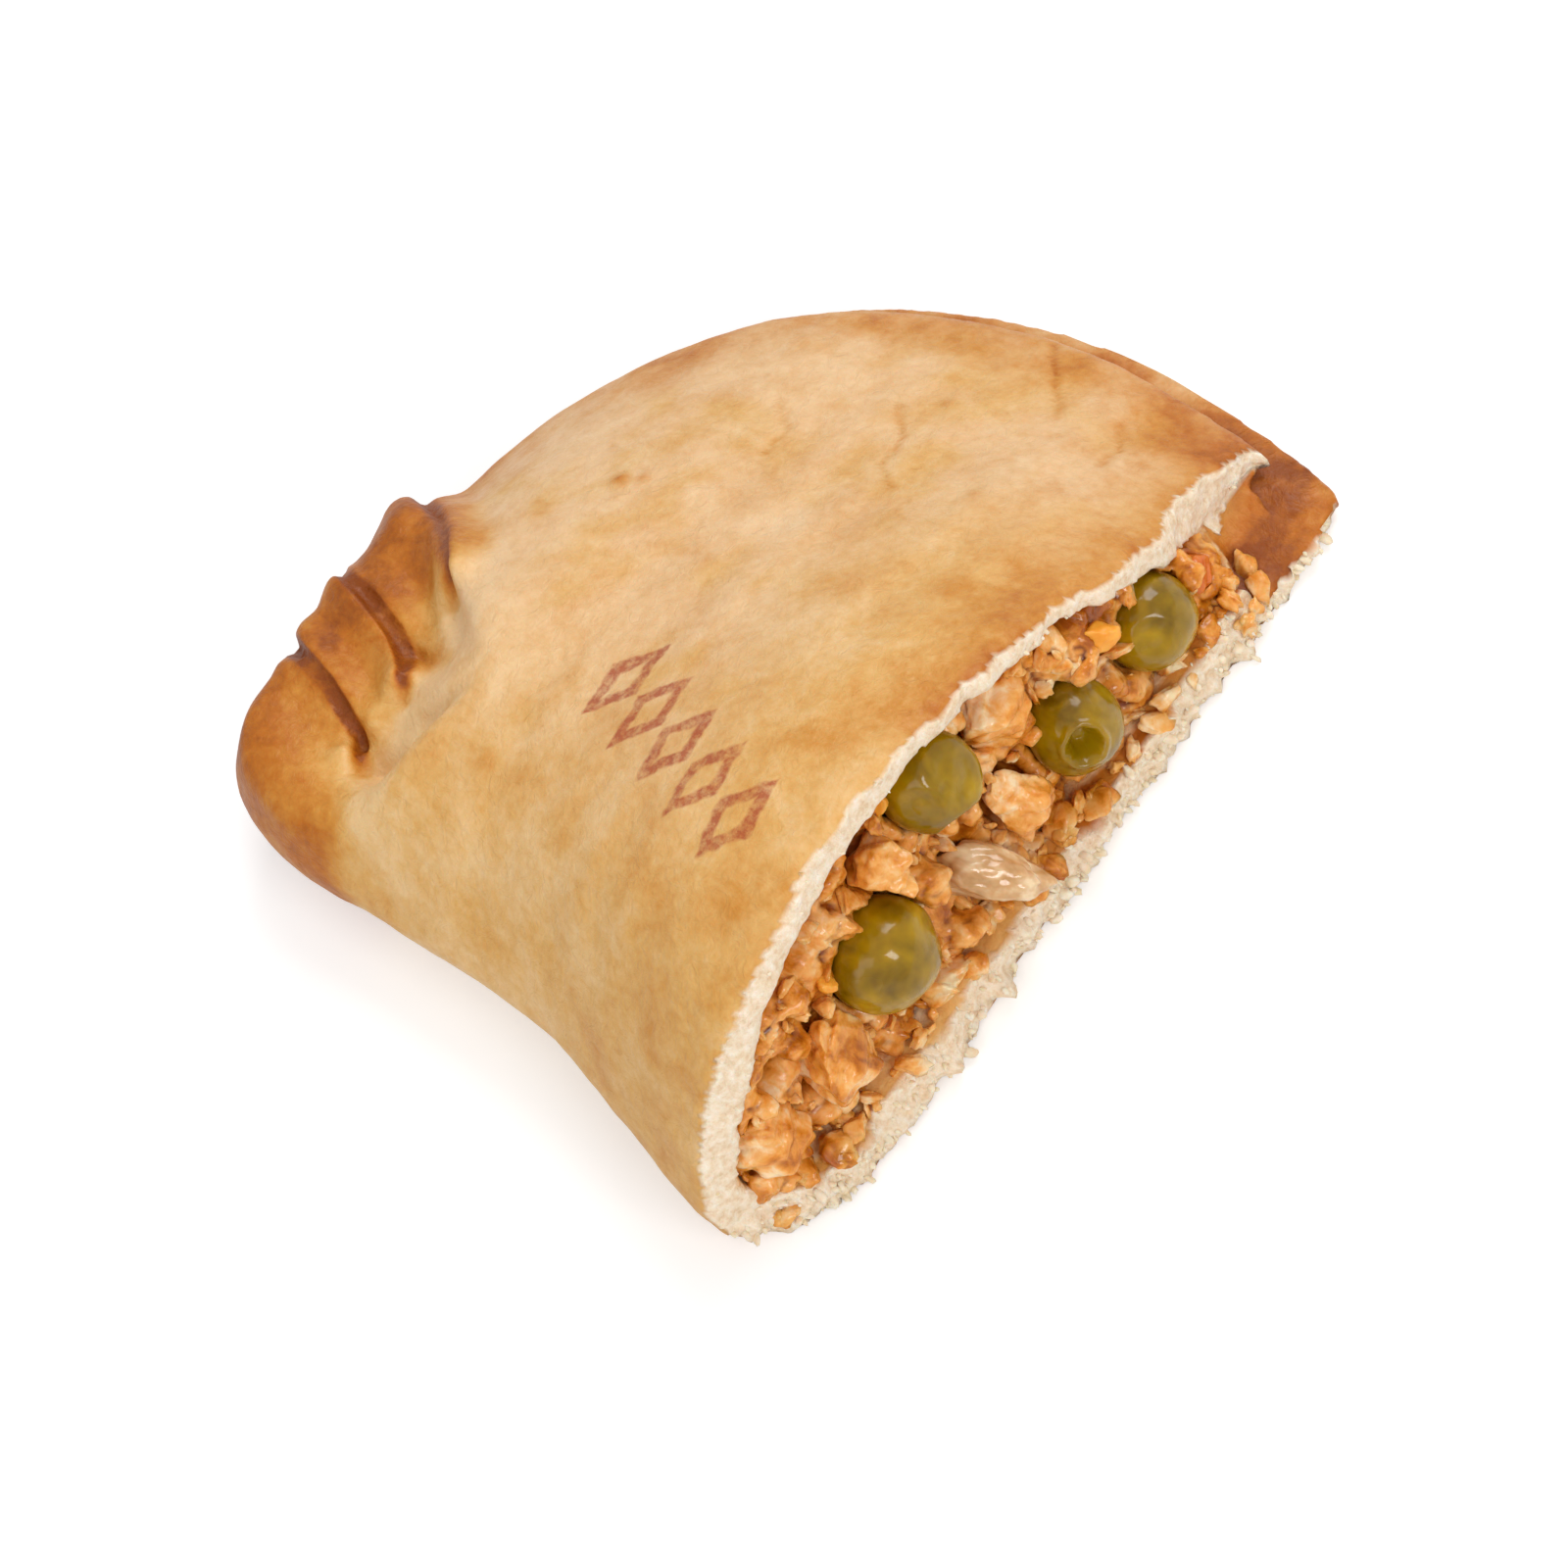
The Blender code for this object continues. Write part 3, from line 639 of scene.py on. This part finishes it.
ring = maths(baked, "MULTIPLY", maths(baked, "SUBTRACT", 0.30, off_line), 8.0, True)
in_row = maths(baked, "LESS_THAN", maths(baked, "ABSOLUTE", along), 2.5)
worn = ramp(baked, texture_noise(baked, 0.7 * MM, 3.0, 0.7, 0.0, 70.0), [(0.30, 0.25), (0.60, 1.0)])
ink = maths(baked, "MULTIPLY", maths(baked, "MULTIPLY", ring, in_row), worn)
facing = add_node(baked, "ShaderNodeSeparateXYZ", in_0=add_node(
    baked, "ShaderNodeNewGeometry").outputs["Normal"]).outputs[2]
ink = maths(baked, "MULTIPLY", ink, maths(baked, "GREATER_THAN", facing, 0.25))
ink = maths(baked, "MULTIPLY", ink, 0.80)
skin = blended(baked, ink, skin, linear("#a83c1e"))

crumb_grain = texture_noise(baked, 0.7 * MM, 4.0, 0.65, 0.0, 30.0)
crumb = ramp(baked, crumb_grain, [(0.28, "#e0be96"), (0.48, "#f1dabb"), (0.70, "#fbeedb")])
stain = ramp(baked, texture_noise(baked, 2.4 * MM, 3.0, 0.6, 0.0, 40.0),
             [(0.36, "#e9cda6"), (0.64, "#cf8f48")])
colour = blended(baked, attribute(baked, "inner"), skin, stain)
colour = blended(baked, attribute(baked, "torn"), colour, crumb)
join(baked, colour, baked_shader, "Base Color")
soft = maths(baked, "MAXIMUM", attribute(baked, "torn"), attribute(baked, "inner"))
gloss = ramp(baked, texture_noise(baked, 3.0 * MM, 3.0, 0.5, 0.0, 90.0), [(0.3, 0.33), (0.7, 0.52)])
gloss = maths(baked, "ADD", gloss, maths(baked, "MULTIPLY", soft, 0.35), True)
join(baked, gloss, baked_shader, "Roughness")
baked_shader.inputs["IOR"].default_value = 1.45
baked_shader.inputs["Specular IOR Level"].default_value = 0.38
baked_shader.inputs["Subsurface Weight"].default_value = 0.12
baked_shader.inputs["Subsurface Scale"].default_value = 1.5 * MM
wrinkle_place = add_node(baked, "ShaderNodeMapping", in_0=place, in_3=(1.0, 0.75, 1.0)).outputs[0]
net = add_node(baked, "ShaderNodeTexVoronoi", {"feature": "DISTANCE_TO_EDGE"}, Vector=wrinkle_place,
               Scale=1.0 / (1.7 * MM), Randomness=1.0).outputs[0]
wrinkle = texture_noise(baked, 1.0 * MM, 4.0, 0.6, 1.4, 10.0)
bump(baked, baked_shader, [(wrinkle, 0.22 * MM, 0.7), (maths(baked, "MINIMUM", net, 0.10), 0.10 * MM, 0.5),
                           (maths(baked, "MULTIPLY", crumb_grain, soft), 0.35 * MM, 0.7)])
crust.data.materials.append(baked)

# %% [markdown]
# ## The filling: one wet mass
# The filling is flaked fish in a thick tomato and oil sauce. The imported solid and a crowd of lumps on
# its torn face are remeshed into one closed piece, so that the lumps sink into each other as wet fish
# does. Ridged noise breaks the face into flakes, and a few gaps are pushed in under the top dough.
# The mesh then measures how deep each place lies, and the finish darkens the hollows, partly as sauce that
# gathers there and partly as painted shade.

# %% A function for one lump
def lump_into(target, centre, radii, turn, seed, detail, shave=0.35, crag=0.22, crag_size=0.9):
    """Add one uneven lump to a bmesh."""
    made = bmesh.ops.create_icosphere(target, subdivisions=detail, radius=1.0)
    pick = random.Random(seed)
    cuts = [Vector((pick.gauss(0, 1), pick.gauss(0, 1), pick.gauss(0, 1))).normalized() for _ in range(7)]
    shift = Vector((pick.uniform(0, 50), pick.uniform(0, 50), pick.uniform(0, 50)))
    for vert in made["verts"]:
        point = vert.co.copy()
        for cut in cuts:
            over = point.dot(cut) - (1.0 - shave)
            if over > 0.0:
                point -= cut * over * 0.85
        layers = abs(noise.noise(Vector((point.x * 0.6, point.y * 0.6, point.z * 2.6)) / crag_size + shift))
        knobs = noise.noise(point * 1.9 + shift)
        fine = noise.noise(point * 5.0 + shift)
        point *= 1.0 + crag * (1.6 * layers - 0.45) + 0.16 * knobs + 0.06 * fine
        local = Vector((point.x * radii[0], point.y * radii[1], point.z * radii[2]))
        vert.co = centre + turn @ local


def random_turn(pick):
    """A rotation matrix with no favourite direction."""
    axis = Vector((pick.gauss(0, 1), pick.gauss(0, 1), pick.gauss(0, 1))).normalized()
    return Matrix.Rotation(pick.uniform(0, 2 * math.pi), 3, axis)


def finish_piece(shape, name, finish, nodes=()):
    """Turn a bmesh into a piece that rides on the root body."""
    mesh = bpy.data.meshes.new(name)
    shape.to_mesh(mesh)
    shape.free()
    piece = new_object(name, mesh)
    piece.data.materials.append(finish)
    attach(piece, "root")
    if nodes:
        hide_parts(*nodes)
    print(name + ":", triangles(piece), "triangles")

# %% Where loose pieces may lie on the torn face
HOLLOWS = [                            # dark gaps in the face: Y and Z on the half in mm, radius
    (20.5, 24.0, 2.6), (8.8, 13.4, 1.7), (27.5, 22.8, 1.6), (46.0, 16.6, 1.2), (15.5, 18.8, 1.3),
]
big_pieces = []
for node in sorted(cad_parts):
    if node not in ("dough", "filling"):
        low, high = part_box(node)
        big_pieces.append(((low + high) / 2, (high - low) / 2))


def face_point(y, z):
    """The point on the torn face of the filling at this Y and Z, or None."""
    hit = filling_tree.ray_cast(Vector((TEAR_X + 20 * MM, y, z)), Vector((-1, 0, 0)))[0]
    if hit is None or hit.x < TEAR_X - TOP_TEAR:
        return None
    return hit


def in_the_way(place, size):
    """True where a large piece fills the torn face, or a gap must stay open."""
    for centre, half in big_pieces:
        margin = 0.3 * size
        sideways = (place.y - centre.y) / (half.y + margin)
        upwards = (place.z - centre.z) / (half.z + margin)
        if math.hypot(sideways, upwards) < 1.0:
            return True
    for y, z, radius in HOLLOWS:
        if math.hypot((place.y - PLAN.y) / MM - y, place.z / MM - z) < radius + 0.4 * size / MM:
            return True
    return False


def scatter(count, size_low, size_high, seed, spacing=0.75):
    """Places on the torn face of the filling, as (point, size, generator)."""
    pick = random.Random(seed)
    found = []
    tries = 0
    while len(found) < count and tries < count * 60:
        tries += 1
        y = pick.uniform(filling_low.y, filling_high.y)
        z = pick.uniform(filling_low.z, filling_high.z)
        size = mix(size_low, size_high, pick.random() ** 2.0)
        place = face_point(y, z)
        if place is None or in_the_way(place, size):
            continue
        if any((place - other).length < spacing * (size + other_size) for other, other_size, _ in found):
            continue
        found.append((place, size, pick))
    return found

# %% The filling as one wet mass
MASS_VOXEL = 0.34 * MM
MASS_LUMPS = 95
MASS_LAYERS = 0.75                     # height in mm of the ridges that part its flakes
GAP_DEPTH = 4.0 * MM
PIT_ROUNDS = 8
shape = merged_copy("filling")
for index, (place, size, pick) in enumerate(scatter(MASS_LUMPS, 1.0 * MM, 2.5 * MM, 41, 0.55)):
    radii = (size * pick.uniform(0.8, 1.1), size * pick.uniform(0.8, 1.2), size * pick.uniform(0.6, 0.95))
    centre = place + Vector((pick.uniform(-0.7, 0.35) * size, 0.0, 0.0))
    lump_into(shape, centre, radii, random_turn(pick), 100 + index, 3, 0.35, 0.30)
core_mesh = remeshed(shape, "filling_mass", MASS_VOXEL)
core_places = places_of(core_mesh)
set_places(core_mesh, relaxed(core_mesh, core_places, np.full(len(core_places), 0.8), 1))
core_places = places_of(core_mesh)
for spot, normal in zip(core_places, normals_of(core_mesh)):
    face = smooth_step(TEAR_X - 9 * MM, TEAR_X - 5 * MM, spot[0]) * smooth_step(-0.3, 0.3, normal[0])
    if face == 0.0:
        continue
    place = Vector(spot)
    flakes = abs(grain(place, 1.7 * MM, 2.0)) - 0.25 + 0.35 * abs(grain(place, 0.8 * MM, 4.0))
    spot += normal * MASS_LAYERS * flakes * face * MM
    for y, z, radius in HOLLOWS:
        away = math.hypot((place.y - PLAN.y) / MM - y, place.z / MM - z)
        spot[0] -= GAP_DEPTH * face * smooth_step(radius, 0.5 * radius, away)
set_places(core_mesh, core_places)
pits = hollowness(core_mesh, PIT_ROUNDS)
store(core_mesh, "hollow", 0.5 + 1.3 * pits)
core = new_object("filling_mass", core_mesh)
print("filling:", triangles(core), "triangles")
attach(core, "root")
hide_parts("filling")

# %% Material: fish in tomato and oil sauce
def fish_in_sauce(name, lift):
    """Pale flaked fish, darker in its hollows from sauce and painted shade; lift makes the whole piece
    paler.
    """
    made, shader = new_material(name)
    tone = texture_noise(made, 1.2 * MM, 4.0, 0.62, 0.5)
    broad = texture_noise(made, 3.6 * MM, 2.0, 0.5, 0.3, 33.0)
    tone = maths(made, "ADD", maths(made, "MULTIPLY", tone, 0.65), maths(made, "MULTIPLY", broad, 0.8))
    tone = maths(made, "ADD", tone, lift - 0.24)
    flesh = ramp(made, tone, [(0.30, "#a5540a"), (0.41, "#ca7716"), (0.50, "#e6963a"), (0.60, "#f2b160"),
                              (0.74, "#fad9aa")])
    # dark brown in the hollows: partly sauce that gathers there, partly painted shade
    deep = ramp(made, texture_noise(made, 1.0 * MM, 3.0, 0.5, 0.0, 12.0),
                [(0.35, "#702c02"), (0.65, "#a04e08")])
    hollow = ramp(made, attribute(made, "hollow"), [(0.46, 0.0), (0.72, 1.0)])
    join(made, blended(made, hollow, flesh, deep), shader, "Base Color")
    wet = ramp(made, texture_noise(made, 1.4 * MM, 3.0, 0.5, 0.0, 8.0), [(0.35, 0.12), (0.65, 0.42)])
    join(made, wet, shader, "Roughness")
    shader.inputs["IOR"].default_value = 1.40
    shader.inputs["Specular IOR Level"].default_value = 0.45
    shader.inputs["Coat Weight"].default_value = 0.35
    shader.inputs["Coat Roughness"].default_value = 0.10
    shader.inputs["Subsurface Weight"].default_value = 0.2
    shader.inputs["Subsurface Scale"].default_value = 1.5 * MM
    bump(made, shader, [(texture_noise(made, 0.55 * MM, 3.0, 0.55, 0.0, 3.0), 0.12 * MM, 0.6)])
    return made


core.data.materials.append(fish_in_sauce("fish_in_tomato_sauce", 0.0))

# %% [markdown]
# ## The filling: chunks, flakes and scraps
# Cooked fish breaks along its muscle sheets into ragged, layered lumps. One function makes such a
# lump from an icosphere: it is stretched, its sides are shaved flat as a break would leave them, and
# ridged noise opens cracks between the layers. The same function makes the five large chunks, where
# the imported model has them, and the loose flakes. Some of these lie on the torn face, and some have
# dropped onto the ledge of dough in front of it. It also makes a few scraps of boiled carrot.

# %% Material: paler fish
fish = fish_in_sauce("sauce_stained_fish", 0.07)

# %% The five large chunks
for number in range(1, 6):
    node = "fish_chunk_" + str(number)
    low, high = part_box(node)
    shape = bmesh.new()
    lump_into(shape, (low + high) / 2, (high - low) * 0.58, Matrix.Identity(3), 20 + number, 5,
              0.42, 0.26, 0.9)
    finish_piece(shape, node + "_flesh", fish, [node])

# %% Scattered flakes and scraps
FLAKES = 130
LEDGE_FLAKES = 120
LEDGE_REACH = (0.9 * MM, 4.2 * MM)     # they lie this far behind the torn base
LEDGE_ENDS = (4.0 * MM, 9.0 * MM)      # and this far from the fold and from the curved edge
LEDGE_ABOVE = 7.5 * MM                 # dropped from this height
LEDGE_TOP = 6.5 * MM                   # the ledge is lower than this
crust_tree = BVHTree.FromObject(crust, bpy.context.evaluated_depsgraph_get())
shape = bmesh.new()
for index, (place, size, pick) in enumerate(scatter(FLAKES, 0.5 * MM, 1.5 * MM, 43, 0.6)):
    radii = (size * pick.uniform(0.9, 1.4), size * pick.uniform(0.6, 1.0), size * pick.uniform(0.25, 0.6))
    centre = place + Vector((pick.uniform(0.0, 0.9) * size, 0.0, 0.0))
    lump_into(shape, centre, radii, random_turn(pick), 400 + index, 3, 0.4, 0.4)
pick = random.Random(45)
for index in range(LEDGE_FLAKES):
    x = TEAR_X - pick.uniform(*LEDGE_REACH)
    y = pick.uniform(FOLD_Y + LEDGE_ENDS[0], RIM_Y - LEDGE_ENDS[1])
    size = mix(0.5, 1.5, pick.random() ** 1.6) * MM
    hit = crust_tree.ray_cast(Vector((x, y, LEDGE_ABOVE)), Vector((0, 0, -1)))[0]
    if hit is None or hit.z > LEDGE_TOP:
        continue
    radii = (size * pick.uniform(0.8, 1.3), size * pick.uniform(0.8, 1.3), size * pick.uniform(0.4, 0.7))
    centre = hit + Vector((0.0, 0.0, 0.3 * size))
    lump_into(shape, centre, radii, random_turn(pick), 700 + index, 3, 0.4, 0.4)
finish_piece(shape, "fish_flakes", fish)

orange, orange_shader = new_material("boiled_carrot_scrap")
join(orange, ramp(orange, texture_noise(orange, 1.2 * MM), [(0.3, "#f0961c"), (0.7, "#ffb545")]),
     orange_shader, "Base Color")
orange_shader.inputs["Roughness"].default_value = 0.35
orange_shader.inputs["Subsurface Weight"].default_value = 0.2
orange_shader.inputs["Subsurface Scale"].default_value = 1.5 * MM
SCRAPS = [                             # middle and radius in mm, from the plan's corner
    (57.6, 46.9, 14.2, 1.45), (56.6, 27.2, 20.6, 0.8), (57.6, 15.6, 15.2, 0.9), (57.8, 52.6, 11.4, 0.7),
]
shape = bmesh.new()
for index, (x, y, z, size) in enumerate(SCRAPS):
    centre = Vector((PLAN.x + x * MM, PLAN.y + y * MM, z * MM))
    hit = face_point(centre.y, centre.z)
    if hit:
        centre.x = hit.x + 0.5 * size * MM
    radii = (size * MM, size * MM, 0.85 * size * MM)
    lump_into(shape, centre, radii, Matrix.Rotation(index, 3, "X"), 60 + index, 4, 0.45, 0.15)
finish_piece(shape, "orange_scraps", orange)

# %% [markdown]
# ## Peas
# Cooked garden peas are olive green, with a thin skin that is smooth where it is tight and dented
# where the pea has shrunk. Each one is a fine icosphere with broad dents. The third has burst: its
# skin is broken open over a dark hollow.

# %% Peas
pea_skin, pea_shader = new_material("cooked_pea_skin")
pea_tone = texture_noise(pea_skin, 3.0 * MM, 3.0, 0.55, 0.3)
join(pea_skin, ramp(pea_skin, pea_tone, [(0.28, "#6a4e00"), (0.46, "#8c6b00"), (0.62, "#a37e00"),
                                         (0.82, "#c09a0c")]), pea_shader, "Base Color")
pea_gloss = texture_noise(pea_skin, 2.0 * MM, 2.0, 0.5, 0.0, 6.0)
join(pea_skin, ramp(pea_skin, pea_gloss, [(0.35, 0.14), (0.65, 0.30)]), pea_shader, "Roughness")
pea_shader.inputs["IOR"].default_value = 1.42
pea_shader.inputs["Specular IOR Level"].default_value = 0.35
pea_shader.inputs["Coat Weight"].default_value = 0.4
pea_shader.inputs["Coat Roughness"].default_value = 0.08
pea_shader.inputs["Subsurface Weight"].default_value = 0.15
pea_shader.inputs["Subsurface Scale"].default_value = 2.0 * MM
bump(pea_skin, pea_shader, [(texture_noise(pea_skin, 1.2 * MM, 2.0, 0.5, 0.0, 4.0), 0.08 * MM, 0.35)])

DENTS = {                              # direction, width in radians, depth as a part of the radius
    "pea_1": [((0.7, -0.5, 0.5), 0.5, 0.06), ((0.6, 0.6, 0.1), 0.6, 0.05)],
    "pea_2": [((0.8, 0.3, 0.5), 0.8, 0.16), ((0.5, -0.6, 0.4), 0.5, 0.10), ((0.7, -0.2, -0.5), 0.6, 0.14)],
    "pea_3": [((0.79, -0.38, 0.42), 0.42, 0.62), ((0.4, 0.6, 0.6), 0.5, 0.05)],
    "pea_4": [((0.7, -0.4, 0.5), 0.5, 0.10)],
}
for node, dents in DENTS.items():
    low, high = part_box(node)
    centre = (low + high) / 2
    half = (high - low) / 2
    shape = bmesh.new()
    bmesh.ops.create_icosphere(shape, subdivisions=6, radius=1.0)
    for vert in shape.verts:
        point = vert.co.copy()
        swell = 1.0 + 0.035 * noise.noise(point * 1.5 + centre * 900.0) + 0.008 * noise.noise(point * 6.0)
        for direction, width, deep in dents:
            angle = point.angle(Vector(direction))
            if deep > 0.3:             # the broken skin curls up round the hollow
                angle += 0.05 * noise.noise(point * 5.0)
                swell -= deep * smooth_step(width, 0.72 * width, angle)
                swell += 0.06 * bell(angle - 1.1 * width, 0.10)
            else:
                swell -= deep * smooth_step(width, 0.35 * width, angle)
        local = Vector((point.x * half.x, point.y * half.y, point.z * half.z)) * swell
        vert.co = centre + local
    finish_piece(shape, node + "_skin", pea_skin, [node])

# %% [markdown]
# ## Onion and pepper
# The onion is a soft, half-clear wedge that shines, and its fibres run along it as fine streaks. The
# pepper is a scrap of orange-red skin.

# %% Onion and pepper
ONION_RADII = Vector((4.7, 2.2, 2.0)) * MM
ONION_TILT = math.radians(24)
ONION_TURN = math.radians(32)
onion, onion_shader = new_material("soft_cooked_onion")
streaks = add_node(onion, "ShaderNodeMapping", in_0=add_node(onion, "ShaderNodeTexCoord").outputs["Object"],
                   in_2=(0.0, ONION_TILT, ONION_TURN), in_3=(0.35, 1.0, 1.0)).outputs[0]
veins = add_node(onion, "ShaderNodeTexNoise", Vector=streaks, Scale=1.0 / (1.3 * MM), Detail=3.0).outputs[0]
join(onion, ramp(onion, veins, [(0.32, "#b5844e"), (0.50, "#d3a672"), (0.68, "#eed2a8")]),
     onion_shader, "Base Color")
onion_shader.inputs["Roughness"].default_value = 0.12
onion_shader.inputs["Coat Weight"].default_value = 0.6
onion_shader.inputs["Coat Roughness"].default_value = 0.05
onion_shader.inputs["IOR"].default_value = 1.38
onion_shader.inputs["Subsurface Weight"].default_value = 0.2
onion_shader.inputs["Subsurface Scale"].default_value = 3.0 * MM
bump(onion, onion_shader, [(veins, 0.22 * MM, 0.6)])
low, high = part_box("onion_piece")
shape = bmesh.new()
turn = Matrix.Rotation(ONION_TURN, 3, "Z") @ Matrix.Rotation(ONION_TILT, 3, "Y")
lump_into(shape, (low + high) / 2, ONION_RADII, turn, 7, 5, 0.22, 0.10, 1.4)
finish_piece(shape, "onion_wedge", onion, ["onion_piece"])

pepper, pepper_shader = new_material("cooked_red_pepper")
join(pepper, ramp(pepper, texture_noise(pepper, 1.5 * MM, 3.0, 0.5), [(0.3, "#c4500c"), (0.7, "#e88430")]),
     pepper_shader, "Base Color")
pepper_shader.inputs["Roughness"].default_value = 0.25
low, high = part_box("pepper_piece")
shape = bmesh.new()
lump_into(shape, (low + high) / 2, (high - low) * 0.6, Matrix.Identity(3), 9, 4, 0.3, 0.2, 1.0)
finish_piece(shape, "pepper_scrap", pepper, ["pepper_piece"])

# %% [markdown]
# ## Crumbs on the torn edge
# Where the crumb let go it left tufts and loose crumbs, most of them along the edge of the base.

# %% Crumbs
CRUMBS = 280
ON_BASE = 0.72                         # the part of them that hangs on the base's torn edge
BASE_TOP = 4.2 * MM
BASE_CRUMB = 0.62                      # largest sizes in mm on the base and on the top sheet
TOP_CRUMB = 0.36
LEAST_CRUMB = 0.16
shape = bmesh.new()
pick = random.Random(77)
placed = 0
while placed < CRUMBS:
    y = pick.uniform(FOLD_Y, RIM_Y)
    low_edge = pick.random() < ON_BASE
    z = pick.uniform(0.0, BASE_TOP) if low_edge else pick.uniform(4.0 * MM, TOP_Z)
    hit, normal, face_index, _ = crust_tree.ray_cast(Vector((TEAR_X + 20 * MM, y, z)), Vector((-1, 0, 0)))
    if hit is None or hit.x < TEAR_X - TOP_TEAR:
        continue
    if torn[dough_mesh.polygons[face_index].vertices[0]] < 0.5:
        continue
    size = mix(LEAST_CRUMB, BASE_CRUMB if low_edge else TOP_CRUMB, pick.random() ** 2.2) * MM
    radii = (size * pick.uniform(0.9, 1.5), size * pick.uniform(0.5, 0.9), size * pick.uniform(0.35, 0.7))
    outwards = Vector((1.0, pick.uniform(-0.8, 0.8), pick.uniform(-0.8, 0.5)))
    pointing = outwards.to_track_quat("X", "Z").to_matrix()
    centre = hit + Vector((0.4 * size, 0.0, 0.0))
    centre.z = max(centre.z, size)
    lump_into(shape, centre, radii, pointing, 900 + placed, 2, 0.3, 0.35)
    placed += 1
crumb_matter, crumb_shader = new_material("loose_white_crumb")
crumb_tone = texture_noise(crumb_matter, 0.8 * MM)
join(crumb_matter, ramp(crumb_matter, crumb_tone, [(0.3, "#ead0aa"), (0.7, "#fbeedb")]),
     crumb_shader, "Base Color")
crumb_shader.inputs["Roughness"].default_value = 0.85
crumb_shader.inputs["Subsurface Weight"].default_value = 0.2
crumb_shader.inputs["Subsurface Scale"].default_value = 1.5 * MM
finish_piece(shape, "torn_crumbs", crumb_matter)
